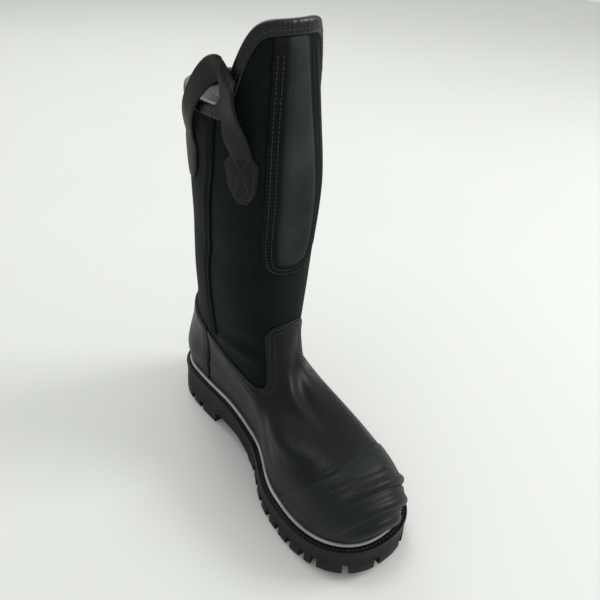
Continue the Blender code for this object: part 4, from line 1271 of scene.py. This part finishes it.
# Pull loop's grid: points along and across, and the distances between them that its rim and sewing go by
LOOP_ALONG, LOOP_ACROSS, LOOP_STEP, LOOP_STEP_ACROSS = 241, 15, 0.9, 1.6
LOOP_SEAM, LOOP_DENT = 2, 0.35  # columns from an edge to its sewn line, and the depth of its trough


def build_pull_loops():
    """Two faces either side of the loop's middle face, meeting in a rounded rim, and their sewn lines."""
    made = made_once("warm_black_leather", leather, "strap", rough=0.5, grain=0.8)
    thread = made_once("warm_thread", leather, "strap_thread", rough=0.55, grain=0.4)
    i, j = np.arange(LOOP_ACROSS), np.arange(LOOP_ALONG)
    edge = np.minimum(i, i[::-1])[None, :] * LOOP_STEP_ACROSS
    tip = np.minimum(j, j[::-1])[:, None] * LOOP_STEP
    depth = np.minimum(edge, tip)
    half = rounded(size("strap") / 2.0, depth / LOOP_STEP_ACROSS)
    half = half - LOOP_DENT * np.exp(-(edge - LOOP_SEAM * LOOP_STEP_ACROSS) ** 2) * (tip > 2.0)
    rim = (depth == 0.0).ravel()
    faces = both_sides(quads(LOOP_ALONG, LOOP_ACROSS, ring_count=False), rim)
    for name, side, hang in (("medial", -1.0, (0.0, 1.0, 1.0)), ("lateral", 1.0, OUTER_LOOP)):
        grid = strap_grid(side, hang, LOOP_ALONG, LOOP_ACROSS)
        out = unit(np.cross(np.gradient(grid, axis=1), np.gradient(grid, axis=0)) * side)
        front, back = grid + out * half[..., None], grid - out * half[..., None]
        points = np.concatenate([front.reshape(-1, 3), back.reshape(-1, 3)[~rim]])
        put("pull_loop_strap_" + name, points, faces, [made], "pull_loop_" + name)
        stitches("strap_sewing_loop_" + name, strap_sewing(front, out), LOOP_PITCH, *LOOP_STITCH, thread,
                 "pull_loop_" + name, "strap_leather")


def strap_sewing(front, out):
    """Sewn lines on a loop: along both edges, and a crossed box on each shield."""
    along, across = front.shape[:2]
    end = int(along * 3.0 / (len(STRAP) - 1))
    lines = [(front[6:-6, k], out[6:-6, k]) for k in (LOOP_SEAM, across - 1 - LOOP_SEAM)]
    over = np.linspace(LOOP_SEAM, across - 1 - LOOP_SEAM, 24)
    for first, last in ((8, end), (along - 9, along - 1 - end)):
        down = np.linspace(first, last, 24)
        ends = (np.full(24, first), over), (np.full(24, last), over)
        for rows, columns in ((down, over), (down, over[::-1]), *ends):
            j, i = np.round(rows).astype(int), np.round(columns).astype(int)
            lines.append((front[j, i], out[j, i]))
    return lines


class BOOT_OT_stage(bpy.types.Operator):
    """Pale level floor, soft lights, and the camera"""
    bl_idname = "boot.stage"
    bl_label = "Stage"

    def execute(self, context):
        build_floor()
        build_lights()
        build_camera()
        return {"FINISHED"}


FLOOR_HALF, FLOOR_LEVEL = 3000.0, -0.05  # just under the sole


def build_floor():
    """Large level sheet under the boot."""
    u = np.linspace(-FLOOR_HALF, FLOOR_HALF, 25)
    x, a = np.meshgrid(u, u)
    points = np.stack([x, a, np.full(x.shape, FLOOR_LEVEL)], axis=-1)
    mesh = bpy.data.meshes.new("floor")
    mesh.from_pydata(to_scene(points).reshape(-1, 3), [], quads(25, 25, ring_count=False)[:, ::-1].tolist())
    made, tree, shader = finish("pale_floor", roughness=0.6, specular_ior_level=0.2)
    where = add(tree, "ShaderNodeTexCoord").outputs["Object"]
    base = blotches(tree, where, shade("floor"), scale=3.0, span=(0.2, 0.8), gains=(0.97, 1.0))
    tree.links.new(base, shader.inputs["Base Color"])
    mesh.materials.append(made)
    floor = bpy.data.objects.new("floor", mesh)
    link(floor)


# Lights: place and aim in metres, side of the square, power in watts
LIGHTS = (
    ("ceiling_light", (0.0, 0.5, 2.3), (0.0, 0.0, 0.1), 0.5, 8.0),
    ("key_light", (1.5, -0.8, 1.5), (0.0, 0.0, 0.25), 0.8, 20.0),
    ("back_light", (0.5, 1.7, 1.4), (0.0, 0.0, 0.25), 1.0, 6.0),
)


def build_lights():
    """Three large soft lights and a pale surround."""
    for name, place, aim, wide, power in LIGHTS:
        data = bpy.data.lights.new(name, "AREA")
        data.size, data.energy = wide, power
        lamp = bpy.data.objects.new(name, data)
        lamp.location = place
        lamp.rotation_euler = (Vector(aim) - Vector(place)).to_track_quat("-Z", "Y").to_euler()
        link(lamp)
    world = bpy.data.worlds.new("surround")
    world.use_nodes = True
    background = world.node_tree.nodes["Background"]
    background.inputs["Color"].default_value = coloured(shade("surround"))
    background.inputs["Strength"].default_value = 0.74
    bpy.context.scene.world = world
    bpy.context.scene.view_settings.view_transform = "Standard"


# Camera as fitted to the photograph: turn, tilt and roll in degrees, distance and aim in metres
EYE_TURN, EYE_TILT, EYE_ROLL, EYE_FAR = -29.61, 36.14, -1.96, 0.476
EYE_AIM = (-0.0742, 0.0, 0.2266)
EYE_ASIDE, EYE_DOWN = 0.135, 0.003  # slopes from the fitted axis to the boot's middle
LENS, SENSOR, NEAR_CLIP = 36.0, 36.0, 0.01


def build_camera():
    """Camera at the fitted place, turned about its own eye so that the one boot fills the frame."""
    a, e, r = (math.radians(v) for v in (EYE_TURN, EYE_TILT, EYE_ROLL))
    back = Vector((math.sin(a) * math.cos(e), -math.cos(a) * math.cos(e), math.sin(e)))
    right = Vector((math.cos(a), math.sin(a), 0.0))
    up = back.cross(right)
    right, up = right * math.cos(r) + up * math.sin(r), up * math.cos(r) - right * math.sin(r)
    place = Vector(EYE_AIM) + Vector((SHIFT, 0.0, 0.0)) + back * EYE_FAR
    back = (back - right * EYE_ASIDE + up * EYE_DOWN).normalized()
    right = up.cross(back).normalized()
    up = back.cross(right)
    data = bpy.data.cameras.new("camera")
    data.lens, data.sensor_width, data.clip_start = LENS, SENSOR, NEAR_CLIP
    eye = bpy.data.objects.new("camera", data)
    turn = Matrix((right, up, back)).transposed().to_4x4()
    turn.translation = place
    eye.matrix_world = turn
    link(eye)
    bpy.context.scene.camera = eye


class BOOT_PT_panel(bpy.types.Panel):
    """Lists the boot's pieces in the sidebar"""
    bl_label = "Firefighter boot"
    bl_idname = "BOOT_PT_panel"
    bl_space_type = "VIEW_3D"
    bl_region_type = "UI"
    bl_category = "Boot"

    def draw(self, context):
        for piece in PIECES:
            self.layout.operator(piece.bl_idname)


PIECES = (BOOT_OT_sole, BOOT_OT_upper, BOOT_OT_foot_panels, BOOT_OT_toe_cap, BOOT_OT_shaft_panels,
          BOOT_OT_collar, BOOT_OT_pull_loops, BOOT_OT_stage)
CLASSES = (BootSizes, BootColours, *PIECES, BOOT_PT_panel)


def register():
    """Register the classes and hang the sizes and colours on the scene."""
    for item in CLASSES:
        bpy.utils.register_class(item)
    bpy.types.Scene.boot_sizes = bpy.props.PointerProperty(type=BootSizes)
    bpy.types.Scene.boot_colours = bpy.props.PointerProperty(type=BootColours)


def unregister():
    """Take them away again."""
    del bpy.types.Scene.boot_sizes
    del bpy.types.Scene.boot_colours
    for item in reversed(CLASSES):
        bpy.utils.unregister_class(item)


def main():
    """Register the classes and build every piece in order."""
    register()
    for build in (bpy.ops.boot.sole, bpy.ops.boot.upper, bpy.ops.boot.foot_panels, bpy.ops.boot.toe_cap,
                  bpy.ops.boot.shaft_panels, bpy.ops.boot.collar, bpy.ops.boot.pull_loops,
                  bpy.ops.boot.stage):
        build()


if __name__ == "__main__":
    main()
